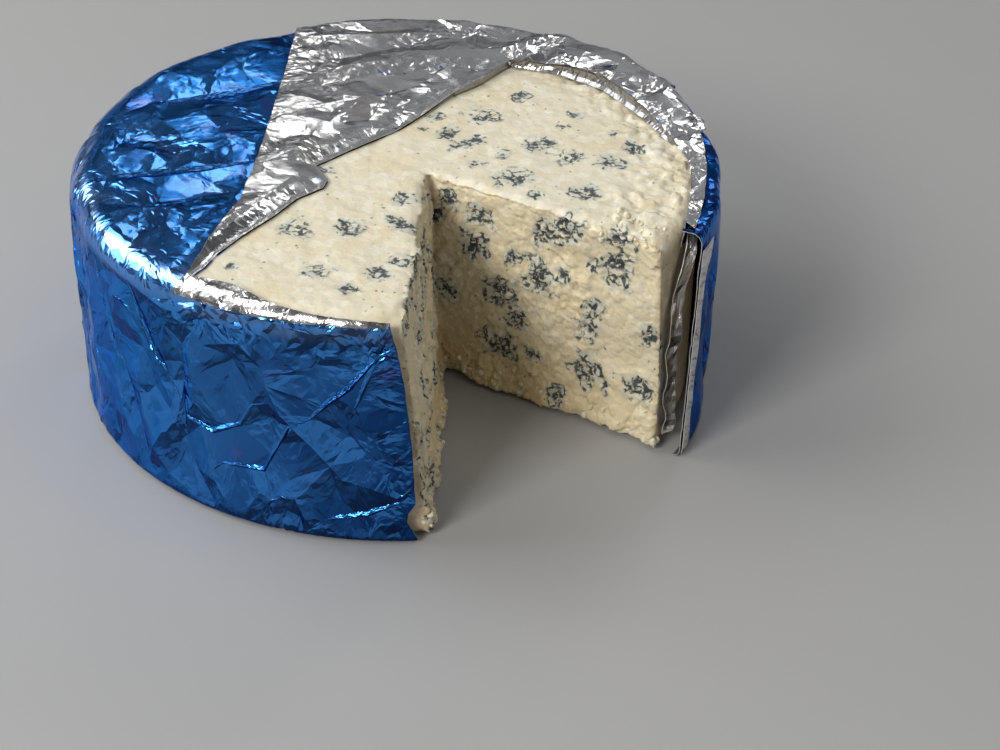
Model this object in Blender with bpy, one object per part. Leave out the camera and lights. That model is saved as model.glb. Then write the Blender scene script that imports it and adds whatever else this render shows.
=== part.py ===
"""A blue cheese wheel with one wedge taken out, in its opened foil wrap.

Units are metres and +Z is up. The wedge is missing on the front right, so its left cut runs
along -Y. While it is modelled, the origin is the middle of the wrap on the floor; at the end
everything moves so that the origin is the middle of the whole object's base.

Nodes: `cheese` is the wheel with its two broken faces and the crumbs that cling to them, and
`foil_wrap` is the one sheet of foil: base, side wall, the cover over the left of the top, and
the torn edge that is folded back over it.
"""

import math
import random

import bmesh
import bpy
from mathutils import Vector, noise
from mathutils.geometry import delaunay_2d_cdt

MM = 0.001

# The wheel of cheese.
CHEESE_RADIUS = 95.8 * MM
CHEESE_CENTRE = Vector((-0.8 * MM, -1.6 * MM))
CHEESE_BASE = 1.1 * MM
CHEESE_TOP = 75.5 * MM
RIM_ROUND = 8 * MM
RIM_STEPS = 4
FOOT_ROUND = 1.6 * MM

# The wedge-shaped notch: its inner corner and the headings of its two faces, at the base and
# at the top. The faces lean, so that the notch is a little narrower at its foot.
APEX_AT_BASE = Vector((15 * MM, -5 * MM))
APEX_AT_TOP = Vector((10.5 * MM, -11.6 * MM))
LEFT_HEADING = (math.radians(-90.8), math.radians(-92.2))
RIGHT_HEADING = (math.radians(-31.5), math.radians(-30.1))

# Spacing of the cheese's facets, and how rough its faces are.
CUT_STEP = 3.4 * MM
TOP_STEP = 7 * MM
RIND_STEP = 13 * MM
BASE_STEP = 22 * MM
CUT_ROUGHNESS = 1.8 * MM
TOP_ROUGHNESS = 0.45 * MM
FOOT_BULGE = 1.8 * MM
FOOT_HEIGHT = 14 * MM
EDGE_CHIP = 1.6 * MM
BARE_RADIUS = 76 * MM

# Crumbs that cling to the foot of each cut: how many, and the range of their radii.
LEFT_CRUMBS = 14
RIGHT_CRUMBS = 15
CRUMB_RADIUS = (1.6 * MM, 4.4 * MM)

# The foil: a sheet of SHEET with air between it and the cheese.
FOIL_RADIUS = 100.6 * MM
SHEET = 0.7 * MM
FOIL_TOP = 77.2 * MM
BASE_TURN = 2.5 * MM
WALL_CRUMPLE = 1.1 * MM
COVER_CRUMPLE = 0.65 * MM
WALL_STEP = 8.4 * MM
COVER_STEP = 7.6 * MM
FOIL_BASE_STEP = 16 * MM
EDGE_STEP = 5 * MM

# Radius of the foil's shoulder where it turns from the wall onto the top, by compass angle.
SHOULDERS = {-90: 3.5 * MM, -150: 7 * MM, 180: 10.5 * MM, 120: 8 * MM, 60: 5 * MM, 0: 3.5 * MM, -30: 3 * MM}

# The foil stands off the cheese next to the right cut, and ends a little short of each cut.
RIGHT_BULGE = 4.2 * MM
BULGE_FROM = math.radians(12)
LEFT_END = (math.radians(-84.2), math.radians(-88.0))
RIGHT_END = (math.radians(-30.5), math.radians(-28.0))
BASE_INSET = 2 * MM

# The torn edge of the foil, seen from above: along the front rim, across the top with a small
# tongue, round the back inside the rim, and out to the rim on the right.
FRONT_RIM_ANGLE = math.radians(-124)
FRONT_LIP = (10 * MM, 3 * MM)
TEAR_ACROSS = (
    (-49, -66), (-43, -54), (-34, -41), (-28, -30), (-20.5, -23), (-23, -9), (-14, 1),
    (-1, 14), (9, 28), (17, 41), (25, 49), (35, 64),
)
TEAR_BACK = ((52, 58), (66, 47), (78, 28), (86, 10), (92, -9))
RIGHT_RIM_ANGLE = math.radians(-12)

# The free edge of the flap that is folded back over the cover: x by y, from front to back.
FLAP_EDGE = ((-100, -58), (-82, -56.3), (-60, -50.6), (-36, -44.6), (0, -41.7), (57, -39.2), (110, -38))
FLAP_RISE = 1.1 * MM
FLAP_STEP = 0.5 * MM

# How high the folded edge stands off the cheese behind the notch.
BAND_LIFT = 4.0 * MM
BAND_MIDDLE = math.radians(32)
BAND_SPREAD = math.radians(38)

SEED = 11


def between(low, high, share):
    return low + (high - low) * share


def ease(share):
    share = min(1.0, max(0.0, share))
    return share * share * (3 - 2 * share)


def spaced(start, end, step):
    count = max(1, round(abs(end - start) / step))
    return [between(start, end, i / count) for i in range(count + 1)]


def mesh_object(name, mesh_data, colour, roughness, metallic):
    """A named object of a mesh, with its own Principled material."""
    material = bpy.data.materials.new(name)
    material.use_nodes = True
    shader = material.node_tree.nodes["Principled BSDF"]
    shader.inputs["Base Color"].default_value = (*colour, 1)
    shader.inputs["Roughness"].default_value = roughness
    shader.inputs["Metallic"].default_value = metallic
    mesh_data.materials.append(material)
    obj = bpy.data.objects.new(name, mesh_data)
    bpy.context.scene.collection.objects.link(obj)
    return obj


def patch(bm, outline, inside, lift):
    """Fills a 2-D outline with triangles through the points inside it, and lifts it into space.

    Patches that share an edge are given the same points along it, and are merged later.
    """
    points = [Vector(p) for p in outline]
    edges = [(i, (i + 1) % len(outline)) for i in range(len(outline))]
    points += [Vector(p) for p in inside]
    flat, _, faces, _, _, _ = delaunay_2d_cdt(points, edges, [], 1, 1e-9)
    corners = [bm.verts.new(lift(p)) for p in flat]
    for face in faces:
        bm.faces.new([corners[i] for i in face])


def scattered(outline, step, rng, margin=0.45):
    """Jittered points of a triangular grid, inside an outline and clear of it."""
    ring = [Vector(p) for p in outline]
    xs = [p.x for p in ring]
    ys = [p.y for p in ring]
    points = []
    row = 0
    y = min(ys)
    while y < max(ys):
        x = min(xs) + (row % 2) * step / 2
        while x < max(xs):
            p = Vector((x + rng.uniform(-0.3, 0.3) * step, y + rng.uniform(-0.3, 0.3) * step))
            if is_inside(p, ring) and clearance(p, ring) > margin * step:
                points.append(p)
            x += step
        y += step * 0.866
        row += 1
    return points


def is_inside(p, ring):
    """Whether a point is inside a closed outline, by counting crossings."""
    inside = False
    for a, b in zip(ring, ring[1:] + ring[:1]):
        if (a.y > p.y) != (b.y > p.y) and p.x < a.x + (p.y - a.y) / (b.y - a.y) * (b.x - a.x):
            inside = not inside
    return inside


def clearance(p, ring):
    """The distance from a point to a closed outline."""
    nearest = math.inf
    for a, b in zip(ring, ring[1:] + ring[:1]):
        along = b - a
        share = (p - a).dot(along) / along.length_squared if along.length_squared else 0
        nearest = min(nearest, (p - a - along * min(1, max(0, share))).length)
    return nearest


def join_patches(bm):
    """Merges the patches along their shared edges and turns all faces outwards."""
    bmesh.ops.remove_doubles(bm, verts=bm.verts[:], dist=0.02 * MM)
    bmesh.ops.recalc_face_normals(bm, faces=bm.faces[:])


def finished_mesh(bm, name):
    mesh_data = bpy.data.meshes.new(name)
    bm.to_mesh(mesh_data)
    bm.free()
    return mesh_data


# ---- Cheese ----------------------------------------------------------------------------------

def cheese_share(z):
    return (z - CHEESE_BASE) / (CHEESE_TOP - CHEESE_BASE)


def on_cut(headings, distance, z):
    """The point of a cut face at a distance from the notch's inner corner, at height z."""
    share = cheese_share(z)
    corner = APEX_AT_BASE.lerp(APEX_AT_TOP, share)
    heading = between(*headings, share)
    return Vector((
        corner.x + distance * math.cos(heading),
        corner.y + distance * math.sin(heading),
        z,
    ))


def cut_length(headings, radius, z):
    """How far the cut runs at height z before it meets the circle of this radius."""
    start = on_cut(headings, 0, z).to_2d() - CHEESE_CENTRE
    heading = between(*headings, cheese_share(z))
    along = start.x * math.cos(heading) + start.y * math.sin(heading)
    return -along + math.sqrt(along * along - start.length_squared + radius * radius)


def rind_profile():
    """(distance up the profile, radius, height) of the rind, from the base over the rim."""
    straight = CHEESE_TOP - CHEESE_BASE - RIM_ROUND
    levels = [(0, CHEESE_RADIUS - FOOT_ROUND, CHEESE_BASE)]
    for up in spaced(FOOT_ROUND, straight, CUT_STEP):
        levels.append((up, CHEESE_RADIUS, CHEESE_BASE + up))
    for i in range(1, RIM_STEPS + 1):
        turn = math.pi / 2 * i / RIM_STEPS
        levels.append((
            straight + RIM_ROUND * turn,
            CHEESE_RADIUS - RIM_ROUND * (1 - math.cos(turn)),
            CHEESE_TOP - RIM_ROUND * (1 - math.sin(turn)),
        ))
    return levels


def rind_angles(radius, z):
    """The compass angles where the rind starts, at the right cut, and ends, at the left cut."""
    ends = []
    for headings in (RIGHT_HEADING, LEFT_HEADING):
        corner = on_cut(headings, cut_length(headings, radius, z), z).to_2d() - CHEESE_CENTRE
        ends.append(math.atan2(corner.y, corner.x))
    return ends[0], ends[1] + 2 * math.pi


def on_rind(share, radius, z):
    angle = between(*rind_angles(radius, z), share)
    return Vector((
        CHEESE_CENTRE.x + radius * math.cos(angle),
        CHEESE_CENTRE.y + radius * math.sin(angle),
        z,
    ))


def cut_face(bm, headings, rng):
    """One broken face of the notch, in its own plane of distance and height."""
    profile = rind_profile()
    foot_end = cut_length(headings, CHEESE_RADIUS - FOOT_ROUND, CHEESE_BASE)
    top_end = cut_length(headings, CHEESE_RADIUS - RIM_ROUND, CHEESE_TOP)
    foot = [(d, CHEESE_BASE) for d in spaced(0, foot_end, CUT_STEP)]
    end = [(cut_length(headings, radius, z), z) for _, radius, z in profile]
    top = [(d, CHEESE_TOP) for d in spaced(top_end, 0, CUT_STEP)]
    corner = [(0, z) for z in spaced(CHEESE_TOP, CHEESE_BASE, CUT_STEP)]
    outline = foot[:-1] + end[:-1] + top[:-1] + corner[:-1]
    inside = scattered(outline, CUT_STEP, rng)
    patch(bm, outline, inside, lambda p: on_cut(headings, p.x, p.y))


def rind_face(bm, rng):
    """The outside of the wheel, unrolled to share of the way round and distance up."""
    profile = rind_profile()
    first, last = rind_angles(CHEESE_RADIUS, CHEESE_BASE)
    length = (last - first) * CHEESE_RADIUS
    rims = spaced(0, 1, RIND_STEP / length)
    low = [(share * length, profile[0][0]) for share in rims]
    high = [(share * length, profile[-1][0]) for share in reversed(rims)]
    left = [(length, up) for up, _, _ in profile]
    right = [(0, up) for up, _, _ in reversed(profile)]
    outline = low[:-1] + left[:-1] + high[:-1] + right[:-1]
    inside = scattered(outline, RIND_STEP, rng, 0.7)
    straight = profile[-RIM_STEPS - 1][0]
    inside = [p for p in inside if RIND_STEP / 3 < p.y < straight - RIND_STEP / 3]
    for share in rims[1:-1]:
        inside.append(Vector((share * length, FOOT_ROUND)))
        inside += [Vector((share * length, up)) for up, _, _ in profile[-RIM_STEPS - 1:-1]]

    def lift(p):
        up = p.y
        if up <= straight:
            radius = CHEESE_RADIUS - max(0, FOOT_ROUND - up)
            return on_rind(p.x / length, radius, CHEESE_BASE + up)
        turn = (up - straight) / RIM_ROUND
        radius = CHEESE_RADIUS - RIM_ROUND * (1 - math.cos(turn))
        return on_rind(p.x / length, radius, CHEESE_TOP - RIM_ROUND * (1 - math.sin(turn)))

    patch(bm, outline, inside, lift)
    return rims


def flat_face(bm, z, radius, rims, step, rng):
    """The top or the base of the wheel."""
    left_end = cut_length(LEFT_HEADING, radius, z)
    right_end = cut_length(RIGHT_HEADING, radius, z)
    outline = [on_cut(RIGHT_HEADING, d, z).to_2d() for d in spaced(0, right_end, CUT_STEP)[:-1]]
    outline += [on_rind(share, radius, z).to_2d() for share in rims[:-1]]
    outline += [on_cut(LEFT_HEADING, d, z).to_2d() for d in spaced(left_end, 0, CUT_STEP)[:-1]]
    inside = scattered(outline, step, rng)
    patch(bm, outline, inside, lambda p: Vector((p.x, p.y, z)))


def distance_from_cut(headings, point):
    """How far a point lies from the sheet of a cut, if it lies beside that cut at all."""
    share = cheese_share(point.z)
    corner = APEX_AT_BASE.lerp(APEX_AT_TOP, share)
    heading = between(*headings, share)
    away = point.to_2d() - corner
    along = away.x * math.cos(heading) + away.y * math.sin(heading)
    across = away.x * math.sin(heading) - away.y * math.cos(heading)
    return abs(across) if along > -0.5 * MM else away.length


def is_on_cut(point):
    return min(distance_from_cut(h, point) for h in (LEFT_HEADING, RIGHT_HEADING)) < 0.1 * MM


def roughen_cheese(bm):
    """Moves each point along its normal: crags on the cuts, a softer grain on the top."""
    bm.normal_update()
    moves = []
    for vert in bm.verts:
        p = vert.co
        on_base = p.z < CHEESE_BASE + 0.01 * MM
        on_top = p.z > CHEESE_TOP - 0.01 * MM
        grain = noise.fractal(p / (9 * MM), 1.0, 2.0, 3)
        if is_on_cut(p):
            move = CUT_ROUGHNESS * grain
            move += FOOT_BULGE * (1 - ease((p.z - CHEESE_BASE) / FOOT_HEIGHT))
            if on_top:
                move = -EDGE_CHIP * abs(noise.noise(p / (6 * MM)))
        elif on_top:
            move = TOP_ROUGHNESS * grain if is_bare(p) else -TOP_ROUGHNESS
        else:
            move = 0
        normal = vert.normal.copy()
        if on_base:
            normal.z = 0
        moves.append((vert, normal * move))
    for vert, move in moves:
        vert.co += move
        out = vert.co.to_2d() - CHEESE_CENTRE
        if out.length > CHEESE_RADIUS:
            vert.co.xy = CHEESE_CENTRE + out * (CHEESE_RADIUS / out.length)


def is_bare(point):
    """Whether the foil leaves this place of the top well uncovered."""
    if (point.to_2d() - CHEESE_CENTRE).length > BARE_RADIUS:
        return False
    for (x0, y0), (x1, y1) in zip(TEAR_ACROSS, TEAR_ACROSS[1:]):
        if y0 <= point.y / MM <= y1:
            return point.x > (between(x0, x1, (point.y / MM - y0) / (y1 - y0)) + 4) * MM
    return point.x > 0


def crumb(rng, centre, radius):
    """One lumpy crumb as an object of its own."""
    bm = bmesh.new()
    bmesh.ops.create_icosphere(bm, subdivisions=1, radius=1)
    stretch = Vector((rng.uniform(0.8, 1.25), rng.uniform(0.8, 1.25), rng.uniform(0.75, 1.05)))
    for vert in bm.verts:
        lump = 1 + rng.uniform(-0.2, 0.2)
        vert.co = centre + vert.co * lump * radius * stretch
        vert.co.z = max(vert.co.z, CHEESE_BASE + 0.15 * MM)
    mesh_data = bpy.data.meshes.new("crumb")
    bm.to_mesh(mesh_data)
    bm.free()
    return bpy.data.objects.new("crumb", mesh_data)


def foot_crumbs(rng):
    """The crumbs along the foot of both cuts, in a collection."""
    crumbs = bpy.data.collections.new("crumbs")
    bpy.context.scene.collection.children.link(crumbs)
    for headings, count, side in ((LEFT_HEADING, LEFT_CRUMBS, 1), (RIGHT_HEADING, RIGHT_CRUMBS, -1)):
        reach = cut_length(headings, CHEESE_RADIUS, CHEESE_BASE) - 5 * MM
        for i in range(count):
            distance = between(7 * MM, reach, (i + rng.uniform(0, 1)) / count)
            radius = rng.uniform(*CRUMB_RADIUS)
            z = CHEESE_BASE + radius * rng.uniform(0.7, 1.3)
            centre = on_cut(headings, distance, z)
            heading = between(*headings, cheese_share(z)) + side * math.pi / 2
            out = FOOT_BULGE + radius * rng.uniform(0.15, 0.45)
            centre += Vector((math.cos(heading), math.sin(heading), 0)) * out
            crumbs.objects.link(crumb(rng, centre, radius))
    return crumbs


def build_cheese():
    rng = random.Random(SEED)
    bm = bmesh.new()
    cut_face(bm, LEFT_HEADING, rng)
    cut_face(bm, RIGHT_HEADING, rng)
    rims = rind_face(bm, rng)
    flat_face(bm, CHEESE_TOP, CHEESE_RADIUS - RIM_ROUND, rims, TOP_STEP, rng)
    flat_face(bm, CHEESE_BASE, CHEESE_RADIUS - FOOT_ROUND, rims, BASE_STEP, rng)
    join_patches(bm)
    roughen_cheese(bm)
    wheel = mesh_object("cheese", finished_mesh(bm, "cheese"), (0.78, 0.69, 0.49), 0.6, 0)

    crumbs = foot_crumbs(rng)
    union = wheel.modifiers.new("clinging crumbs", "BOOLEAN")
    union.operation = "UNION"
    union.operand_type = "COLLECTION"
    union.solver = "MANIFOLD"
    union.collection = crumbs
    graph = bpy.context.evaluated_depsgraph_get()
    fused = bpy.data.meshes.new_from_object(wheel.evaluated_get(graph))
    wheel.modifiers.remove(union)
    wheel.data = fused
    for piece in list(crumbs.objects):
        bpy.data.objects.remove(piece)
    bpy.data.collections.remove(crumbs)
    return wheel


# ---- Foil ------------------------------------------------------------------------------------

def shoulder_at(angle):
    """The shoulder's radius at a compass angle, eased between the named ones."""
    degrees = (math.degrees(angle) + 180) % 360 - 180
    names = sorted(SHOULDERS)
    if degrees <= names[0]:
        low, high, start = names[-1] - 360, names[0], degrees
        return between(SHOULDERS[names[-1]], SHOULDERS[names[0]], ease((start - low) / (high - low)))
    for low, high in zip(names, names[1:]):
        if degrees <= high:
            return between(SHOULDERS[low], SHOULDERS[high], ease((degrees - low) / (high - low)))
    return SHOULDERS[names[-1]]


def wall_radius(angle):
    """The foil's outer radius, with the part that stands off beside the right cut."""
    degrees = (math.degrees(angle) + 180) % 360 - 180
    from_right = (math.degrees(BULGE_FROM) - degrees) / math.degrees(BULGE_FROM - RIGHT_END[1])
    return FOIL_RADIUS + (RIGHT_BULGE * ease(from_right) if -60 < degrees < 90 else 0)


def sheet_length(angle):
    """Distance over the sheet from the wheel's axis, across the top and down to the base."""
    shoulder = shoulder_at(angle)
    return (
        wall_radius(angle) - shoulder
        + shoulder * math.pi / 2
        + FOIL_TOP - shoulder - BASE_TURN
        + BASE_TURN * math.pi / 2
    )


def on_sheet(angle, reach):
    """(point, outward normal) of the smooth sheet at a distance over it from the wheel's axis."""
    shoulder = shoulder_at(angle)
    flat = wall_radius(angle) - shoulder
    around = shoulder * math.pi / 2
    wall = FOIL_TOP - shoulder - BASE_TURN
    if reach <= flat:
        radius, z, tilt = reach, FOIL_TOP, math.pi / 2
    elif reach <= flat + around:
        tilt = math.pi / 2 - (reach - flat) / shoulder
        radius = flat + shoulder * math.cos(tilt)
        z = FOIL_TOP - shoulder * (1 - math.sin(tilt))
    elif reach <= flat + around + wall:
        radius, z, tilt = flat + shoulder, FOIL_TOP - shoulder - (reach - flat - around), 0
    else:
        tilt = -(reach - flat - around - wall) / BASE_TURN
        radius = flat + shoulder - BASE_TURN * (1 - math.cos(tilt))
        z = BASE_TURN * (1 + math.sin(tilt))
    point = Vector((radius * math.cos(angle), radius * math.sin(angle), z))
    normal = Vector((math.cos(tilt) * math.cos(angle), math.cos(tilt) * math.sin(angle), math.sin(tilt)))
    return point, normal


def unrolled(angle, reach):
    return Vector((reach * math.cos(angle), reach * math.sin(angle)))


def flap_edge_x(y):
    """Where the folded flap's free edge lies at this y."""
    for (y0, x0), (y1, x1) in zip(FLAP_EDGE, FLAP_EDGE[1:]):
        if y / MM <= y1:
            return between(x0, x1, (y / MM - y0) / (y1 - y0)) * MM
    return FLAP_EDGE[-1][1] * MM


def flap_share(flat):
    """1 where the foil lies double, under the folded flap, and 0 where it lies single."""
    angle = math.atan2(flat.y, flat.x)
    rim = wall_radius(angle) - 0.2 * shoulder_at(angle)
    over_rim = ease((rim - flat.length) / (2 * FLAP_STEP))
    return over_rim * ease((flat.x - flap_edge_x(flat.y)) / (2 * FLAP_STEP) + 0.5)


def band_lift(flat):
    """How far the folded edge stands up behind the notch, rising inwards from the rim."""
    angle = math.atan2(flat.y, flat.x)
    inwards = (wall_radius(angle) - flat.length) / (16 * MM)
    return BAND_LIFT * ease(1 - abs(angle - BAND_MIDDLE) / BAND_SPREAD) * ease(inwards)


def foil_outline():
    """The sheet's whole edge, laid out flat: foot, right end, torn edge and left end."""
    turn = 2 * math.pi
    foot_start, foot_end = LEFT_END[0], RIGHT_END[0] - turn
    foot = [
        unrolled(a, sheet_length(a))
        for a in spaced(foot_start, foot_end, FOIL_BASE_STEP / FOIL_RADIUS / 2)
    ]

    def rise(ends, start, stop, extra):
        """An upright end of the sheet, from share start to share stop of the wall's height."""
        line = []
        for share in spaced(start, stop, EDGE_STEP / FOIL_TOP):
            angle = between(*ends, share) + extra
            full = sheet_length(angle)
            line.append(unrolled(angle, between(full, wall_radius(angle), share)))
        return line

    right = rise(RIGHT_END, 0, 1, -turn)
    left = rise(LEFT_END, 1, 0, 0)
    tear = []
    for angle in spaced(RIGHT_END[1], RIGHT_RIM_ANGLE, EDGE_STEP / FOIL_RADIUS)[1:]:
        tear.append(unrolled(angle, wall_radius(angle) - 3 * MM))
    tear += densified([Vector(p) * MM for p in reversed(TEAR_ACROSS + TEAR_BACK)])
    for angle in spaced(FRONT_RIM_ANGLE, LEFT_END[1], EDGE_STEP / FOIL_RADIUS)[:-1]:
        share = (angle - FRONT_RIM_ANGLE) / (LEFT_END[1] - FRONT_RIM_ANGLE)
        tear.append(unrolled(angle, wall_radius(angle) - between(*FRONT_LIP, share)))
    return foot, foot[:-1] + right + tear + left[:-1]


def densified(points):
    """Adds points along a line so that none of its steps is long."""
    line = []
    for a, b in zip(points, points[1:]):
        for share in spaced(0, 1, EDGE_STEP / (b - a).length)[:-1]:
            line.append(a.lerp(b, share))
    return line + points[-1:]


def sheet_points(outline, rng):
    """Points over the laid-out sheet, spaced evenly on the real sheet rather than on the layout."""
    ring = [Vector(p) for p in outline]
    points = []
    reach = COVER_STEP
    while reach < sheet_length(math.pi) - COVER_STEP / 2:
        radius = min(reach, FOIL_RADIUS)
        step = COVER_STEP if reach < FOIL_RADIUS else WALL_STEP
        count = max(5, round(2 * math.pi * radius / step))
        offset = rng.random()
        for i in range(count):
            angle = 2 * math.pi * (i + offset + rng.uniform(-0.3, 0.3)) / count
            p = unrolled(angle, reach + rng.uniform(-0.3, 0.3) * step)
            if is_inside(p, ring) and clearance(p, ring) > 0.4 * step:
                points.append(p)
        reach += step * 0.87
    edge = []
    for y in spaced(-92 * MM, 96 * MM, EDGE_STEP):
        for side in (-FLAP_STEP, FLAP_STEP):
            p = Vector((flap_edge_x(y) + side, y))
            if is_inside(p, ring) and clearance(p, ring) > 1.5 * MM:
                edge.append(p)
    for angle in spaced(LEFT_END[0], RIGHT_END[0] - 2 * math.pi, WALL_STEP / FOIL_RADIUS)[1:-1]:
        edge.append(unrolled(angle, sheet_length(angle) - BASE_TURN * math.pi / 2))
    points = [p for p in points if min((p - q).length for q in edge) > 3 * MM]
    return points + edge


def foil_points(flat, crumple):
    """(outer point, inner point) of the foil for a point of the layout."""
    angle = math.atan2(flat.y, flat.x)
    reach = flat.length
    point, normal = on_sheet(angle, reach)
    full = sheet_length(angle)
    steady = ease((full - reach - 2 * BASE_TURN) / (12 * MM))
    on_top = 1 - ease((reach - 84 * MM) / (14 * MM))
    depth = between(WALL_CRUMPLE, COVER_CRUMPLE, on_top) * crumple * steady
    inner = point + normal * (depth - SHEET)
    inner.z += band_lift(flat)
    outer = inner + normal * SHEET + Vector((0, 0, FLAP_RISE * flap_share(flat)))
    return outer, inner


def build_foil():
    rng = random.Random(SEED + 1)
    foot, outline = foil_outline()
    inside = sheet_points(outline, rng)
    edges = [(i, (i + 1) % len(outline)) for i in range(len(outline))]
    flat, _, faces, _, _, _ = delaunay_2d_cdt(outline + inside, edges, [], 1, 1e-9)
    crumples = [rng.uniform(-1, 1) for _ in flat]

    bm = bmesh.new()
    layers = []
    for side in (0, 1):
        corners = [bm.verts.new(foil_points(p, c)[side]) for p, c in zip(flat, crumples)]
        for face in faces:
            bm.faces.new([corners[i] for i in face])
        layers.append(corners)
    outer, inner = layers
    for i in range(len(foot) - 1, len(outline)):
        j = (i + 1) % len(outline)
        bm.faces.new([outer[i], outer[j], inner[j], inner[i]])
    add_base(bm, [vert.co.to_2d() for vert in outer[:len(foot)]])
    join_patches(bm)
    bmesh.ops.triangulate(bm, faces=bm.faces[:])
    return mesh_object("foil_wrap", finished_mesh(bm, "foil_wrap"), (0.02, 0.11, 0.42), 0.25, 1)


def add_base(bm, rim):
    """The flat base of the sheet under the cheese, cut away with the wedge."""
    corner = APEX_AT_BASE + Vector((-BASE_INSET, BASE_INSET))
    notch = densified([rim[-1], corner, rim[0]])
    outline = rim + notch[1:-1]
    inside = scattered(outline, FOIL_BASE_STEP, random.Random(SEED + 2))
    for z in (0, SHEET):
        patch(bm, outline, inside, lambda p, z=z: Vector((p.x, p.y, z)))
    for a, b in zip(notch, notch[1:]):
        corners = ((a, 0), (b, 0), (b, SHEET), (a, SHEET))
        bm.faces.new([bm.verts.new((p.x, p.y, z)) for p, z in corners])


# ---- Whole object ----------------------------------------------------------------------------

def centre_on_base(pieces):
    """Moves all pieces so that the origin is the middle of the whole object's base."""
    points = [v.co for piece in pieces for v in piece.data.vertices]
    lows = [min(p[axis] for p in points) for axis in range(3)]
    highs = [max(p[axis] for p in points) for axis in range(3)]
    middle = Vector(((lows[0] + highs[0]) / 2, (lows[1] + highs[1]) / 2, lows[2]))
    for piece in pieces:
        for vert in piece.data.vertices:
            vert.co -= middle


def main():
    for obj in list(bpy.data.objects):
        bpy.data.objects.remove(obj)
    centre_on_base([build_cheese(), build_foil()])


main()
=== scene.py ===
"""Looks of a blue cheese wheel with one wedge taken out, in its opened foil wrap.

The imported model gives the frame: where the wheel and its wrap stand, and how big they are.
Around it this script makes the curds, crags and blue mould of the cheese, the crumpled sheet
of foil, and the silver side of it that is folded back along the torn edge.

Shapes are worked out in millimetres from the wrap's own axis on the floor, and become metres
in the shared frame when they are made into meshes.
"""

import logging
import math
from collections.abc import Callable, Sequence
from dataclasses import dataclass, field
from enum import Enum
from typing import Any, ClassVar

import bpy
import numpy as np
from mathutils import Matrix, Vector
from mathutils.geometry import delaunay_2d_cdt


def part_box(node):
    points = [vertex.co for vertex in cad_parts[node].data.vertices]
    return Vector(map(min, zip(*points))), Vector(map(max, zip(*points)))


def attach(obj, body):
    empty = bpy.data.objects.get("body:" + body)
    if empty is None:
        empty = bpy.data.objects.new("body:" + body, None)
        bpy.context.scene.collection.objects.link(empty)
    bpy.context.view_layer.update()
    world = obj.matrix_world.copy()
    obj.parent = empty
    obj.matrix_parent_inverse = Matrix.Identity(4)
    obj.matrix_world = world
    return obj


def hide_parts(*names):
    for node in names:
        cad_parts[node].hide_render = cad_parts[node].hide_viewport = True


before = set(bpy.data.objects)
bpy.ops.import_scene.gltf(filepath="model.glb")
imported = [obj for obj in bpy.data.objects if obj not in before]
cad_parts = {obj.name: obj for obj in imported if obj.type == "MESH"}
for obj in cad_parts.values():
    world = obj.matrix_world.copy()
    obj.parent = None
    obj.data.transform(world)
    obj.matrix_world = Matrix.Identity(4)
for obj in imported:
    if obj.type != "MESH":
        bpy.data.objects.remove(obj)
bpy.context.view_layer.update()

LOG = logging.getLogger("blue cheese")
MM = 0.001
ROOT = "root"
CRUMB_BEDS = "crumb beds"
# A triangular grid, in shares of its step: between rows, each point's shake, and clear of the edge.
GRID_ROWS = 0.866
GRID_SHAKE = 0.28
GRID_MARGIN = 0.5
# Large odd numbers that scatter whole-numbered cells evenly.
CELL_FACTORS = (73856093, 19349663, 83492791)
SCATTER = ((16, 0x45D9F3B), (15, 0x2C1B3C6D))
Array = np.ndarray
Colour = tuple[float, float, float]
Point = tuple[float, float, float]
Place = tuple[float, float]
Places = tuple[Place, ...]
Spots = tuple[tuple[float, float, float], ...]
Measure = Callable[[Array], Array]


# ---- Numbers and noise -------------------------------------------------------------------------

def ease(share: Array | float) -> Array:
    """Smooth step from 0 to 1, held at both ends."""
    share = np.clip(share, 0.0, 1.0)
    return share * share * (3 - 2 * share)


def blend(low: Any, high: Any, share: Any) -> Any:
    """Straight mix of two values or arrays."""
    return low + (high - low) * share


def spaced(start: float, end: float, step: float) -> Array:
    """Evenly spaced values from start to end, both included.

    Args:
        start: First value.
        end: Last value.
        step: The spacing aimed at.

    Returns:
        The values.
    """
    count = max(1, round(abs(end - start) / step))
    return np.linspace(start, end, count + 1)


def rows(vectors: Array) -> Array:
    """The length of each row's vector, as a column that divides them."""
    return np.maximum(np.linalg.norm(vectors, axis=1), 1e-9)[:, None]


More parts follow.
